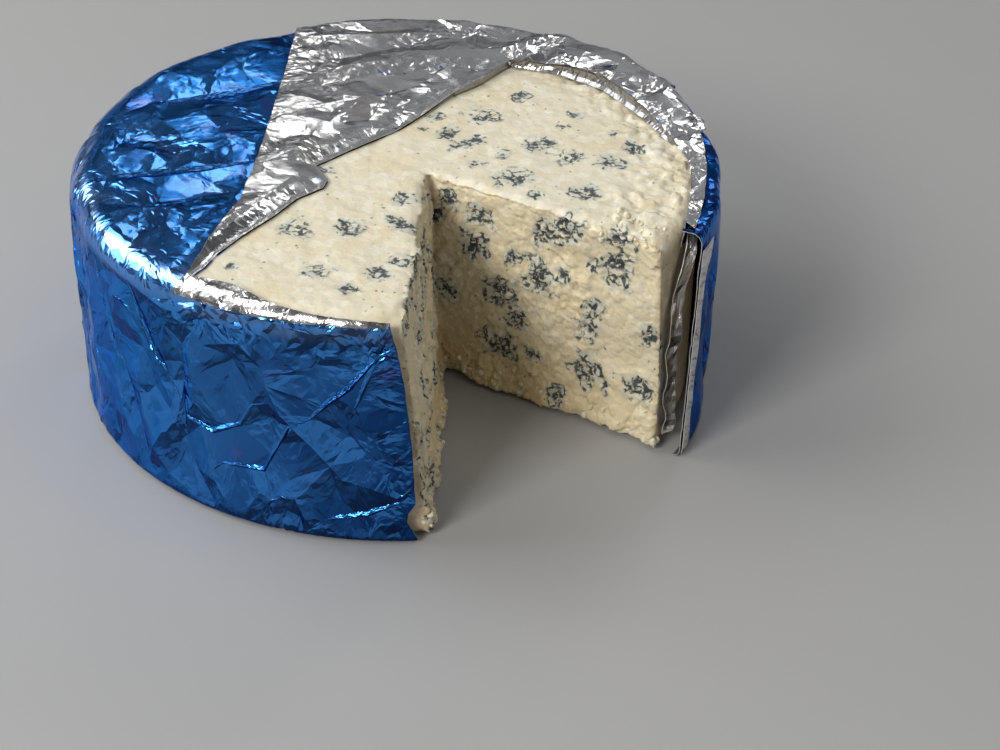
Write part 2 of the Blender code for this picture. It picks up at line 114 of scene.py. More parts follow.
@dataclass(frozen=True)
class Grain:
    """Seeded noise over space, the same on every run.

    Attributes:
        seed: Picks one noise out of many.
    """

    seed: int

    def chance(self, cells: Array, salt: int = 0) -> Array:
        """A random share, 0 to 1, for each whole-numbered cell."""
        cells = cells.astype(np.int64)
        x, y, z = (cells[..., axis] * factor for axis, factor in enumerate(CELL_FACTORS))
        mixed = x ^ y ^ z
        mixed = (mixed + self.seed * 1013904223 + salt * 374761393) & 0xFFFFFFFF
        for shift, factor in SCATTER:
            mixed = ((mixed ^ (mixed >> shift)) * factor) & 0xFFFFFFFF
        return ((mixed ^ (mixed >> 16)) & 0xFFFFFF) / float(0x1000000)

    def smooth(self, points: Array, size: float) -> Array:
        """Soft noise from -1 to 1 with features of the given size."""
        scaled = points / size
        corner = np.floor(scaled)
        share = ease(scaled - corner)
        total = np.zeros(len(points))
        for step in np.ndindex(2, 2, 2):
            weight = np.prod(np.where(step, share, 1 - share), axis=1)
            total += weight * self.chance(corner + step)
        return total * 2 - 1

    def fractal(self, points: Array, size: float, octaves: int = 3) -> Array:
        """Soft noise with finer copies of itself added."""
        total = np.zeros(len(points))
        for octave in range(octaves):
            layer = Grain(self.seed + 17 * octave)
            total += layer.smooth(points, size / 2**octave) / 2**octave
        return total

    def lumps(self, points: Array, size: float) -> tuple[Array, Array, Array]:
        """Rounded cells, as curds are.

        Args:
            points: Where to look, one row each.
            size: The width of a cell.

        Returns:
            Distance to the nearest cell's middle, extra distance to the next one (both in
            shares of the size), and a random share for the nearest cell.
        """
        scaled = points / size
        corner = np.floor(scaled)
        first = np.full(len(points), np.inf)
        second = np.full(len(points), np.inf)
        named = np.zeros(len(points))
        for step in np.ndindex(3, 3, 3):
            cell = corner + (np.array(step) - 1)
            middle = cell + np.stack([self.chance(cell, salt) for salt in (1, 2, 3)], axis=1)
            away = np.linalg.norm(middle - scaled, axis=1)
            nearer = away < first
            second = np.where(nearer, first, np.minimum(second, away))
            named = np.where(nearer, self.chance(cell, 4), named)
            first = np.where(nearer, away, first)
        return first, second - first, named


# ---- Flat layouts --------------------------------------------------------------------------------

def is_inside(points: Array, ring: Array) -> Array:
    """Which points lie inside a closed outline, by counting crossings."""
    inside = np.zeros(len(points), bool)
    for a, b in zip(ring, np.roll(ring, -1, axis=0)):
        if a[1] == b[1]:
            continue
        crosses = (a[1] > points[:, 1]) != (b[1] > points[:, 1])
        inside ^= crosses & (points[:, 0] < a[0] + (points[:, 1] - a[1]) / (b[1] - a[1]) * (b[0] - a[0]))
    return inside


def clearance(points: Array, line: Array, closed: bool = True) -> Array:
    """The distance from each point to a line of points."""
    nearest = np.full(len(points), np.inf)
    ends = np.roll(line, -1, axis=0) if closed else line[1:]
    for a, b in zip(line, ends):
        along = b - a
        length = max(float(along @ along), 1e-12)
        share = np.clip((points - a) @ along / length, 0, 1)
        nearest = np.minimum(nearest, np.linalg.norm(points - a - share[:, None] * along, axis=1))
    return nearest


def densified(line: Array, step: float) -> Array:
    """The same line with extra points, so that none of its steps is longer than asked."""
    parts = [
        a + (b - a) * spaced(0, 1, step / max(float(np.linalg.norm(b - a)), step))[:-1, None]
        for a, b in zip(line, line[1:])
    ]
    return np.vstack([*parts, line[-1:]])


def triangulated(outline: Array, inside: Array, lines: Sequence[Array] = ()) -> tuple[Array, Array, list[int]]:
    """Fills an outline with triangles through inner points and along inner lines.

    Args:
        outline: The closed edge, one row a point.
        inside: Loose points within it.
        lines: Open lines that edges have to follow.

    Returns:
        The points, the triangles, and for each point which given one it is, or -1.
    """
    edges = [(i, (i + 1) % len(outline)) for i in range(len(outline))]
    start = len(outline)
    for line in lines:
        edges += [(start + i, start + i + 1) for i in range(len(line) - 1)]
        start += len(line)
    given = np.vstack([outline, *lines, inside])
    flat, _, faces, origins, _, _ = delaunay_2d_cdt([Vector(p) for p in given], edges, [], 1, 1e-7)
    source = [min(names) if names else -1 for names in origins]
    return np.array([tuple(p) for p in flat]), np.array(faces, np.int64), source


def scattered(outline: Array, step: float, rng: np.random.Generator) -> Array:
    """Points of a shaken triangular grid that lie inside an outline and clear of it."""
    low, high = outline.min(axis=0), outline.max(axis=0)
    ys = np.arange(low[1], high[1], step * GRID_ROWS)
    x, y = np.meshgrid(np.arange(low[0], high[0], step), ys)
    x = x + (np.arange(len(ys)) % 2)[:, None] * step / 2
    grid = np.stack([x.ravel(), y.ravel()], axis=1)
    grid += rng.uniform(-GRID_SHAKE, GRID_SHAKE, grid.shape) * step
    grid = grid[is_inside(grid, outline)]
    return grid[clearance(grid, outline) > GRID_MARGIN * step]


def turned(flat: Array) -> Array:
    """The compass angle of each place, in degrees."""
    return np.degrees(np.arctan2(flat[:, 1], flat[:, 0]))


def polar(flat: Array) -> tuple[Array, Array]:
    """The angle in radians of each place, and its distance from the axis."""
    return np.arctan2(flat[:, 1], flat[:, 0]), np.hypot(flat[:, 0], flat[:, 1])


def everywhere(value: float) -> Measure:
    """A measure that is the same at every place."""
    return lambda flat: np.full(len(flat), value)


def sides_of(faces: Array) -> Array:
    """The sides of all triangles as pairs of points: every first one, then second, then third."""
    return np.vstack([faces[:, [0, 1]], faces[:, [1, 2]], faces[:, [2, 0]]])


def open_sides(faces: Array) -> Array:
    """The sides that only one triangle has."""
    ends = sides_of(faces)
    _, index, number = np.unique(np.sort(ends, axis=1), axis=0, return_inverse=True, return_counts=True)
    return ends[number[index.reshape(-1)] == 1]


# ---- Meshes --------------------------------------------------------------------------------------

@dataclass
class Surface:
    """Triangles under way: points in millimetres, and what is known about each point.

    Attributes:
        points: One row a point.
        faces: One row a triangle, counter-clockwise from outside.
        slots: The material slot of each triangle.
        notes: Named values for each point, which become mesh attributes.
        painted_light_tones: Painted light and shade of each triangle, 0 darkest to 1 palest, where it matters.
    """

    points: Array
    faces: Array
    slots: Array | None = None
    notes: dict[str, Array] = field(default_factory=dict)
    painted_light_tones: Array | None = None

    def _crossed(self) -> Array:
        """The cross product of two sides of each triangle."""
        a, b, c = (self.points[self.faces[:, i]] for i in range(3))
        return np.cross(b - a, c - a)

    def facings(self) -> Array:
        """Unit normals of the triangles."""
        crossed = self._crossed()
        return crossed / rows(crossed)

    def normals(self) -> Array:
        """Unit normals of the points, weighted by area."""
        crossed = self._crossed()
        total = np.zeros_like(self.points)
        for i in range(3):
            np.add.at(total, self.faces[:, i], crossed)
        return total / rows(total)

    def merged(self, within: float = 0.01) -> "Surface":
        """The bare surface with points closer than this made one."""
        _, first, index = np.unique(
            np.round(self.points / within).astype(np.int64), axis=0, return_index=True, return_inverse=True
        )
        faces = index.reshape(-1)[self.faces]
        whole = (faces != np.roll(faces, 1, axis=1)).all(axis=1)
        return Surface(self.points[first], faces[whole])

    def mesh(self, name: str, origin: Array) -> bpy.types.Mesh:
        """A Blender mesh of it, in metres and in the shared frame.

        Args:
            name: The mesh's name.
            origin: The wrap's axis on the floor, in the frame's millimetres.

        Returns:
            The mesh, smooth shaded.
        """
        mesh = bpy.data.meshes.new(name)
        mesh.vertices.add(len(self.points))
        mesh.vertices.foreach_set("co", ((self.points + origin) * MM).astype(np.float32).ravel())
        mesh.loops.add(self.faces.size)
        mesh.loops.foreach_set("vertex_index", self.faces.astype(np.int32).ravel())
        mesh.polygons.add(len(self.faces))
        mesh.polygons.foreach_set("loop_start", np.arange(0, self.faces.size, 3, dtype=np.int32))
        if self.slots is not None:
            mesh.polygons.foreach_set("material_index", self.slots.astype(np.int32))
        carried = [(note, "POINT", values) for note, values in self.notes.items()]
        if self.painted_light_tones is not None:
            carried.append(("painted_light_tone", "FACE", self.painted_light_tones))
        for note, domain, values in carried:
            mesh.attributes.new(note, "FLOAT", domain).data.foreach_set("value", values.astype(np.float32))
        mesh.update(calc_edges=True)
        mesh.validate()
        mesh.shade_smooth()
        return mesh


def joined(parts: Sequence[Surface]) -> Surface:
    """Several surfaces put together, their shared edges still double."""
    offsets = np.cumsum([0] + [len(part.points) for part in parts[:-1]])
    faces = np.vstack([part.faces + offset for part, offset in zip(parts, offsets)])
    whole = Surface(np.vstack([part.points for part in parts]), faces)
    if parts[0].slots is not None:
        whole.slots = np.concatenate([part.slots for part in parts])
        whole.painted_light_tones = np.concatenate([part.painted_light_tones for part in parts])
    return whole


def make_piece(name: str, mesh: bpy.types.Mesh, node: str) -> bpy.types.Object:
    """A finished piece: an object at the origin that stands for a node of the frame.

    Args:
        name: The piece's name.
        mesh: Its mesh, already dressed.
        node: The node that it replaces.

    Returns:
        The object.
    """
    piece = bpy.data.objects.new(name, mesh)
    bpy.context.scene.collection.objects.link(piece)
    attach(piece, ROOT)
    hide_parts(node)
    LOG.info("%s: %d triangles, stands for %s", name, len(mesh.polygons), node)
    return piece


# ---- Node trees ----------------------------------------------------------------------------------

class Signal:
    """A node's output that Python's operators add Math nodes to."""

    def __init__(self, board: "Board", socket: bpy.types.NodeSocket) -> None:
        """Wraps one output socket of a board's tree."""
        self.board = board
        self.socket = socket

    def _math(self, operation: str, *values: Any) -> "Signal":
        """The result of a Math node on these values."""
        return self.board.add("ShaderNodeMath", {"operation": operation}, dict(enumerate(values)))

    def __add__(self, other: Any) -> "Signal":
        """self + other."""
        return self._math("ADD", self, other)

    __radd__ = __add__

    def __mul__(self, other: Any) -> "Signal":
        """self * other."""
        return self._math("MULTIPLY", self, other)

    __rmul__ = __mul__

    def __sub__(self, other: Any) -> "Signal":
        """self - other."""
        return self._math("SUBTRACT", self, other)

    def __rsub__(self, other: Any) -> "Signal":
        """other - self."""
        return self._math("SUBTRACT", other, self)

    def at_least(self, other: Any) -> "Signal":
        """The larger of self and other."""
        return self._math("MAXIMUM", self, other)

    def below(self, limit: float, softness: float) -> "Signal":
        """1 where self is under the limit, fading to 0 over the softness."""
        return self.board.ranged(self, limit - softness, limit + softness, 1.0, 0.0)

    def above(self, limit: float, softness: float) -> "Signal":
        """1 where self is over the limit, fading from 0 over the softness."""
        return self.board.ranged(self, limit - softness, limit + softness, 0.0, 1.0)


class Board:
    """A node tree that is filled by method calls."""

    def __init__(self, tree: bpy.types.NodeTree) -> None:
        """Takes an empty tree."""
        self.tree = tree

    def node(self, kind: str, settings: dict[str, Any] | None = None,
             sockets: dict[Any, Any] | None = None) -> bpy.types.Node:
        """Adds a node.

        Args:
            kind: The node's type.
            settings: Its own properties, set first.
            sockets: Values or links for its inputs, by name or number.

        Returns:
            The node.
        """
        node = self.tree.nodes.new(kind)
        for name, value in (settings or {}).items():
            setattr(node, name, value)
        self.plug(node, sockets or {})
        return node

    def plug(self, node: bpy.types.Node, sockets: dict[Any, Any]) -> None:
        """Sets or links a node's inputs."""
        for key, value in sockets.items():
            if isinstance(value, Signal):
                self.tree.links.new(value.socket, node.inputs[key])
            else:
                node.inputs[key].default_value = value

    def add(self, kind: str, settings: dict[str, Any] | None = None,
            sockets: dict[Any, Any] | None = None, output: Any = 0) -> Signal:
        """Adds a node and returns one of its outputs."""
        return Signal(self, self.node(kind, settings, sockets).outputs[output])

    def ranged(self, value: Signal, low: float, high: float, to_low: float = 0.0, to_high: float = 1.0) -> Signal:
        """Maps a range of a value smoothly onto another."""
        sockets = {"Value": value, "From Min": low, "From Max": high, "To Min": to_low, "To Max": to_high}
        return self.add("ShaderNodeMapRange", {"interpolation_type": "SMOOTHSTEP"}, sockets)

    def mixed(self, share: Any, low: Any, high: Any) -> Signal:
        """Mixes two colours by a share."""
        sockets = {0: share, 6: self._colour(low), 7: self._colour(high)}
        return self.add("ShaderNodeMix", {"data_type": "RGBA"}, sockets, 2)

    @staticmethod
    def _colour(value: Any) -> Any:
        """A colour with its alpha, or a link as it is."""
        return value if isinstance(value, Signal) else (*value, 1.0)

    def vector(self, operation: str, first: Any, second: Any) -> Signal:
        """The result of a Vector Math node."""
        return self.add("ShaderNodeVectorMath", {"operation": operation}, {0: first, 1: second})

    def note(self, name: str) -> Signal:
        """A named value that the mesh carries for each point."""
        return self.add("ShaderNodeAttribute", {"attribute_name": name}, output="Fac")

    def place(self) -> Signal:
        """The place on the piece, in metres in the shared frame."""
        return self.add("ShaderNodeTexCoord", output="Object")

    def noise(self, place: Signal, size: float, detail: float = 3.0, output: Any = 0) -> Signal:
        """Soft noise with features about this many millimetres wide."""
        sockets = {"Vector": place, "Scale": 1 / (size * MM), "Detail": detail}
        return self.add("ShaderNodeTexNoise", None, sockets, output)

    def cells(self, place: Signal, size: float, feature: str = "F1", output: Any = 0) -> Signal:
        """Cells about this many millimetres wide."""
        sockets = {"Vector": place, "Scale": 1 / (size * MM)}
        return self.add("ShaderNodeTexVoronoi", {"feature": feature}, sockets, output)

    def shaken(self, place: Signal, size: float, amount: float) -> Signal:
        """The place pushed about by noise, in millimetres."""
        wander = self.vector("SUBTRACT", self.noise(place, size, 2.0, 1), (0.5, 0.5, 0.5))
        push = self.vector("MULTIPLY", wander, (amount * MM * 2,) * 3)
        return self.vector("ADD", place, push)

    def bump(self, height: Signal, depth: float, strength: float = 1.0, under: Signal | None = None) -> Signal:
        """A Bump node of a depth in millimetres."""
        sockets: dict[Any, Any] = {"Strength": strength, "Distance": depth * MM, "Height": height}
        if under is not None:
            sockets["Normal"] = under
        return self.add("ShaderNodeBump", None, sockets)


def new_material(name: str, build: Callable[[Board, bpy.types.Node], None]) -> bpy.types.Material:
    """A material with one Principled shader that a function wires up.

    Args:
        name: The material's name.
        build: Fills the board and sets the shader.

    Returns:
        The material.
    """
    material = bpy.data.materials.new(name)
    material.use_nodes = True
    material.node_tree.nodes.clear()
    board = Board(material.node_tree)
    shader = board.node("ShaderNodeBsdfPrincipled")
    output = board.node("ShaderNodeOutputMaterial")
    board.tree.links.new(shader.outputs[0], output.inputs["Surface"])
    build(board, shader)
    return material


# ---- Finishes ------------------------------------------------------------------------------------

@dataclass(frozen=True)
class CheeseFinish:
    """Cream paste with curds, strands of blue mould, and a tan rind.

    Attributes:
        cream: The paste.
        butter: Its yellower patches.
        milk: Its paler curds.
        painted_warm_shade: Painted shade and bounce light: the browner colour that the paste deepens to inside, on
            the broken faces, most of all at the foot of the notch.
        rind: The dried outside.
        halo: Pale grey-blue round the mould.
        mould: The dark strands.
    """

    cream: Colour = (0.74, 0.675, 0.505)
    butter: Colour = (0.72, 0.62, 0.41)
    milk: Colour = (0.81, 0.77, 0.635)
    painted_warm_shade: Colour = (0.80, 0.61, 0.295)
    rind: Colour = (0.53, 0.40, 0.235)
    halo: Colour = (0.50, 0.545, 0.50)
    mould: Colour = (0.030, 0.042, 0.048)

    def material(self) -> bpy.types.Material:
        """Builds the cheese's material."""
        return new_material("cheese paste", self._build)

    def _build(self, board: Board, shader: bpy.types.Node) -> None:
        """Wires the paste, the mould and the rind."""
        place = board.place()
        cluster = board.note("mould")
        rind = board.note("rind")

        patches = board.noise(place, 16, 3).above(0.56, 0.12)
        curds = board.cells(board.shaken(place, 3, 0.8), 3.4, output="Color")
        shade = board.add("ShaderNodeSeparateColor", None, {0: curds}, 0)
        colour = board.mixed(patches * 0.75, self.cream, self.butter)
        colour = board.mixed(shade.above(0.72, 0.2) * 0.7, colour, self.milk)
        # Painted shade: the broken faces are painted browner, most of all low in the notch near its inner corner.
        colour = board.mixed(board.note("painted_warm_shade"), colour, self.painted_warm_shade)

        wander = board.shaken(board.shaken(place, 5, 1.3), 1.2, 0.45)
        network = board.cells(wander, 3.5, "DISTANCE_TO_EDGE")
        swell = board.noise(place, 1.6, 2) * 0.34 - 0.17
        broken = board.noise(board.shaken(place, 3, 1), 1.9, 2).above(0.47, 0.07)
        body = cluster.above(0.46, 0.14)
        strand = (network + swell).below(0.115, 0.06) * broken * body
        core = cluster.above(0.80, 0.10) * board.noise(place, 1.7, 2).above(0.49, 0.05)
        flecks = board.cells(wander, 3.3).below(0.13, 0.05) * board.noise(place, 9, 2).above(0.53, 0.04)
        dark = strand.at_least(core).at_least(flecks * 0.75)
        pale = cluster.above(0.42, 0.22) * board.noise(place, 2.4, 3).above(0.44, 0.2)
        colour = board.mixed(pale * 0.7, colour, self.halo)
        crust = rind * board.noise(place, 3.5, 4).above(0.42, 0.2)
        colour = board.mixed(crust, colour, self.rind)
        colour = board.mixed(dark * 0.96, colour, self.mould)

        fine = board.noise(place, 0.8, 4)
        crumbly = board.ranged(board.note("painted_warm_shade"), 0.0, 0.3, 0.35, 1.0)
        lumps = board.cells(board.shaken(place, 2, 0.5), 1.4) * crumbly
        broad = board.cells(board.shaken(place, 4, 1.0), 3.0, "SMOOTH_F1")
        under = board.bump(lumps, 0.4, 0.4, board.bump(broad, 0.8, 0.35))
        normal = board.bump(fine, 0.15, 0.6, under)
        rough = board.noise(place, 5, 3) * 0.2 + 0.40
        board.plug(shader, {
            "Base Color": colour, "Roughness": rough, "Normal": normal, "Subsurface Weight": 0.12,
            "Subsurface Radius": (1.0, 0.62, 0.3), "Subsurface Scale": 1.2 * MM, "Specular IOR Level": 0.42,
        })


class FoilSide(Enum):
    """The two faces of the foil, and its cut edge."""

    BLUE = "blue lacquered foil"
    SILVER = "bare silver foil"
    EDGE = "torn foil edge"


@dataclass(frozen=True)
class FoilFinish:
    """Thin foil: a metal skin with small creases.

    Attributes:
        side: Which face of the sheet it is.
        deep: Its colour.
        painted_reflection: What the colour drifts to in patches.
        sheen: The odd tint of a few small patches.
        roughness: How blurred its reflections are.
        lacquer: Weight of the clear lacquer.
        crease: Depth of the finest creases, in millimetres.
        grazing: Tint of what it mirrors at a flat angle.
        bloom: Its colour where the shoulder is lit.
        lit: From where to where across the wheel the light fades, in metres.
        crown_start: The heights between which the lit shoulder begins, in metres.
        crown_end: The heights between which it ends.
    """

    side: FoilSide
    deep: Colour
    painted_reflection: Colour
    sheen: Colour
    roughness: float
    lacquer: float
    crease: float
    grazing: Colour
    bloom: Colour
    lit: Place = (-0.085, 0.035)
    crown_start: Place = (0.067, 0.0725)
    crown_end: Place = (0.0758, 0.0768)

    def material(self) -> bpy.types.Material:
        """Builds this face's material."""
        return new_material(self.side.value, self._build)

    @staticmethod
    def _facets(board: Board, place: Signal, size: float) -> Signal:
        """Flat facets with sharp creases between them: the difference of two squared cells."""
        first = board.cells(place, size)
        moved = board.vector("ADD", place, (0.37, 0.61, 0.23))
        second = board.cells(moved, size)
        return first * first - second * second

    def _build(self, board: Board, shader: bpy.types.Node) -> None:
        """Wires the metal and its creases."""
        place = board.place()
        across = board.add("ShaderNodeSeparateXYZ", None, {0: place}, 0)
        height = board.add("ShaderNodeSeparateXYZ", None, {0: place}, 2)
        # Painted reflection: the colour is mixed towards another on the lit side of the wheel and on random large
        # panels.
        lit = board.ranged(across + (board.noise(place, 22, 2) - 0.5) * 0.12, *self.lit, 1.0, 0.0)
        panels = board.cells(board.shaken(place, 14, 5.0), 15, output="Color")
        panel = board.add("ShaderNodeSeparateColor", None, {0: panels}, 0)
        colour = board.mixed(lit * 0.75 + (panel - 0.5) * 0.45, self.deep, self.painted_reflection)
        violet = board.noise(board.shaken(place, 6, 2), 19, 3).above(0.66, 0.05)
        colour = board.mixed(violet * 0.4, colour, self.sheen)
        crown = board.ranged(height, *self.crown_start) * (1.0 - board.ranged(height, *self.crown_end) * 0.85)
        crown = crown * (lit * 0.8 + 0.2)
        colour = board.mixed(crown * 0.65, colour, self.bloom)
        # Painted shade and highlight: facets marked dark are painted darker, those marked pale are painted paler.
        painted_light_tone = board.note("painted_light_tone")
        colour = board.mixed(painted_light_tone.below(0.25, 0.25) * 0.8, colour, tuple(c * 0.25 for c in self.deep))
        colour = board.mixed(painted_light_tone.above(0.78, 0.22) * 0.75, colour, tuple(c * 1.25 for c in self.painted_reflection))
        busy = board.noise(place, 16, 2).above(0.56, 0.08)
        coarse = board.bump(self._facets(board, place, 7.0), self.crease * 1.6, 0.35)
        fine = board.bump(self._facets(board, board.shaken(place, 4, 0.5), 2.6) * busy, self.crease, 0.7, coarse)
        rough = board.noise(place, 8, 3) * 0.1 + (self.roughness - 0.05)
        board.plug(shader, {
            "Base Color": colour, "Metallic": 1.0, "Roughness": rough, "Normal": fine,
            "Coat Weight": (crown * 3.2 + 0.9) * self.lacquer, "Coat Roughness": 0.06,
            "Specular Tint": (*self.grazing, 1.0),
        })


BLUE_FOIL = FoilFinish(
    FoilSide.BLUE, deep=(0.003, 0.056, 0.235), painted_reflection=(0.038, 0.215, 0.61), sheen=(0.14, 0.12, 0.46),
    roughness=0.17, lacquer=0.22, crease=0.08, grazing=(0.25, 0.5, 1.0), bloom=(0.25, 0.42, 0.74),
)
SILVER_FOIL = FoilFinish(
    FoilSide.SILVER, deep=(0.80, 0.79, 0.785), painted_reflection=(0.70, 0.69, 0.68), sheen=(0.76, 0.70, 0.60),
    roughness=0.20, lacquer=0.0, crease=0.06, grazing=(1.0, 1.0, 1.0), bloom=(0.80, 0.79, 0.785),
)


@dataclass(frozen=True)
class EdgeFinish:
    """The pale edge of the sheet where it is torn through.

    Attributes:
        colour: Paper-like cream.
        worn: What it drifts to.
    """

    colour: Colour = (0.62, 0.57, 0.47)
    worn: Colour = (0.75, 0.73, 0.70)

    def material(self) -> bpy.types.Material:
        """Builds the edge's material."""
        return new_material(FoilSide.EDGE.value, self._build)

    def _build(self, board: Board, shader: bpy.types.Node) -> None:
        """Wires a slightly uneven pale edge."""
        colour = board.mixed(board.noise(board.place(), 2, 2), self.colour, self.worn)
        board.plug(shader, {"Base Color": colour, "Metallic": 0.3, "Roughness": 0.4})


# ---- Cheese --------------------------------------------------------------------------------------

class Cut(Enum):
    """The two broken faces of the notch: headings at base and top, in degrees."""

    LEFT = (-90.8, -92.2)
    RIGHT = (-31.5, -30.1)


@dataclass
class CheeseWheel:
    """The wheel of cheese with its two broken faces.

    All lengths are millimetres from the wrap's axis on the floor. The fields curd, crag, knob,
    pit, nick and vein say how wide each of them is.
    """

    radius: float = 95.8
    centre: Place = (-0.8, -1.6)
    base: float = 1.1
    top: float = 75.5
    rim_round: float = 5.0
    foot_round: float = 1.6
    apex_at_base: Place = (15.0, -5.0)
    apex_at_top: Place = (10.5, -11.6)
    cut_step: float = 0.72
    top_step: float = 0.95
    hidden_step: float = 5.0
    curd: float = 4.0
    curd_depth: float = 0.75
    crag_depth: float = 1.25
    foot_bulge: float = 1.7
    foot_height: float = 14.0
    edge_chip: float = 2.2
    bare_to: float = 80.0
    edge_width: float = 3.4
    crag: float = 15.0
    knob: float = 8.5
    pit: float = 3.6
    nick: float = 8.0
    vein: float = 9.0
    covered_top: float = -0.45
    crumbled_from: float = 62.0
    crumbled_over: float = 26.0
    seed: int = 5

    # Clusters of mould: the place in the face's own two coordinates, and the width.
    TOP_SPOTS: ClassVar[Spots] = (
        (26, 28, 12), (16, 15, 8), (25, 11, 8), (57, 30, 5),
        (45, 9, 10), (54, 1, 9), (74, 9, 7), (67, -2, 8),
        (34, 2, 6), (37, -14, 12), (59, -21, 10), (44, -24, 6),
        (4, -28, 8), (3, -43, 8), (4, -64, 7), (-11, -46, 9),
        (-27, -48, 9), (-1, -72, 7), (-19, -72, 8), (-9, -80, 6),
        (52, 21, 4), (69, 18, 4), (-20, -11, 5), (-43, -71, 4),
        (11, 26, 6), (39, 43, 6), (38, 40, 5), (19, 8, 7),
        (25, -5, 5), (30, 26, 6), (8, 18, 4),
    )
    RIGHT_SPOTS: ClassVar[Spots] = (
        (7, 68, 8), (17, 64, 9), (1, 61, 7), (15, 53, 11),
        (49, 71, 10), (42, 66, 10), (31, 54, 7), (39, 50, 12),
        (47, 53, 5), (67, 73, 8), (66, 62, 13), (58, 61, 5),
        (24, 39, 12), (3, 34, 8), (30, 30, 8), (59, 46, 8),
        (56, 36, 9), (24, 18, 12), (35, 19, 8), (56, 20, 12),
        (45, 6, 7), (78, 40, 8), (74, 20, 9),
    )

    def share(self, z: Array | float) -> Array | float:
        """How far up the wheel a height is, 0 at its base."""
        return (z - self.base) / (self.top - self.base)

    def heading(self, cut: Cut, z: Array | float) -> Array:
        """A cut's heading at a height, in radians."""
        return np.radians(blend(cut.value[0], cut.value[1], self.share(z)))

    def corner(self, z: Array) -> Array:
        """The notch's inner corner at each height."""
        return blend(np.array(self.apex_at_base), np.array(self.apex_at_top), self.share(z)[..., None])

    def on_cut(self, cut: Cut, distance: Array, z: Array) -> Array:
        """Points of a cut, by distance from the notch's inner corner and height."""
        distance, z = np.broadcast_arrays(np.asarray(distance, float), np.asarray(z, float))
        corner = self.corner(z)
        turn = self.heading(cut, z)
        x = corner[..., 0] + distance * np.cos(turn)
        y = corner[..., 1] + distance * np.sin(turn)
        return np.stack([x, y, z], axis=-1)

    def cut_length(self, cut: Cut, radius: float, z: float) -> float:
        """How far a cut runs at a height before it meets the circle of this radius."""
        start = self.on_cut(cut, 0.0, z)[:2] - self.centre
        turn = self.heading(cut, z)
        along = start[0] * np.cos(turn) + start[1] * np.sin(turn)
        return float(-along + math.sqrt(along**2 - start @ start + radius**2))

    def rind_profile(self) -> Array:
        """Rows of distance up the profile, radius and height, from the base over the rim."""
        straight = self.top - self.base - self.rim_round
        levels = [(0.0, self.radius - self.foot_round, self.base)]
        levels += [(up, self.radius, self.base + up) for up in spaced(self.foot_round, straight, self.cut_step)]
        steps = round(self.rim_round * math.pi / 2 / self.cut_step)
        for turn in np.linspace(0, math.pi / 2, steps + 1)[1:]:
            inwards = self.rim_round * (1 - math.cos(turn))
            drop = self.rim_round * (1 - math.sin(turn))
            levels.append((straight + self.rim_round * turn, self.radius - inwards, self.top - drop))
        return np.array(levels)

    def rind_ends(self, radius: float, z: float) -> tuple[float, float]:
        """The angles where the rind starts, at the right cut, and ends, at the left cut."""
        ends = []
        for cut in (Cut.RIGHT, Cut.LEFT):
            corner = self.on_cut(cut, self.cut_length(cut, radius, z), z)[:2] - self.centre
            ends.append(math.atan2(corner[1], corner[0]))
        return ends[0], ends[1] + 2 * math.pi

    def on_rind(self, share: Array, up: Array) -> Array:
        """Points of the rind by share of the way round and distance up its profile."""
        profile = self.rind_profile()
        ends = np.array([self.rind_ends(r, h) for _, r, h in profile])
        columns = (*profile.T[1:], *ends.T)
        radius, z, start, end = (np.interp(up, profile[:, 0], column) for column in columns)
        angle = blend(start, end, share)
        x = self.centre[0] + radius * np.cos(angle)
        y = self.centre[1] + radius * np.sin(angle)
        return np.stack([x, y, z], axis=-1)

    def rim_shares(self) -> Array:
        """Places along the rim: close together where it is bare, wide apart under the foil."""
        start, end = self.rind_ends(self.radius, self.base)
        length = (end - start) * self.radius
        bare = (math.radians(self.bare_to) - start) * self.radius / length
        last = 1 - 8.0 / length
        parts = (
            spaced(0, bare, self.top_step / length)[:-1],
            spaced(bare, last, self.hidden_step / length)[:-1],
            spaced(last, 1, self.top_step / length),
        )
        return np.concatenate(parts)

    def cut_face(self, cut: Cut, rng: np.random.Generator) -> Surface:
        """One broken face of the notch, smooth so far."""
        profile = self.rind_profile()
        foot_end = self.cut_length(cut, self.radius - self.foot_round, self.base)
        top_end = self.cut_length(cut, self.radius - self.rim_round, self.top)
        foot = [(d, self.base) for d in spaced(0, foot_end, self.cut_step)]
        end = [(self.cut_length(cut, radius, z), z) for _, radius, z in profile]
        top = [(d, self.top) for d in spaced(top_end, 0, self.cut_step)]
        corner = [(0.0, z) for z in spaced(self.top, self.base, self.cut_step)]
        outline = np.array(foot[:-1] + end[:-1] + top[:-1] + corner[:-1])
        flat, faces, _ = triangulated(outline, scattered(outline, self.cut_step, rng))
        if cut is Cut.LEFT:
            faces = faces[:, ::-1]
        return Surface(self.on_cut(cut, flat[:, 0], flat[:, 1]), faces)

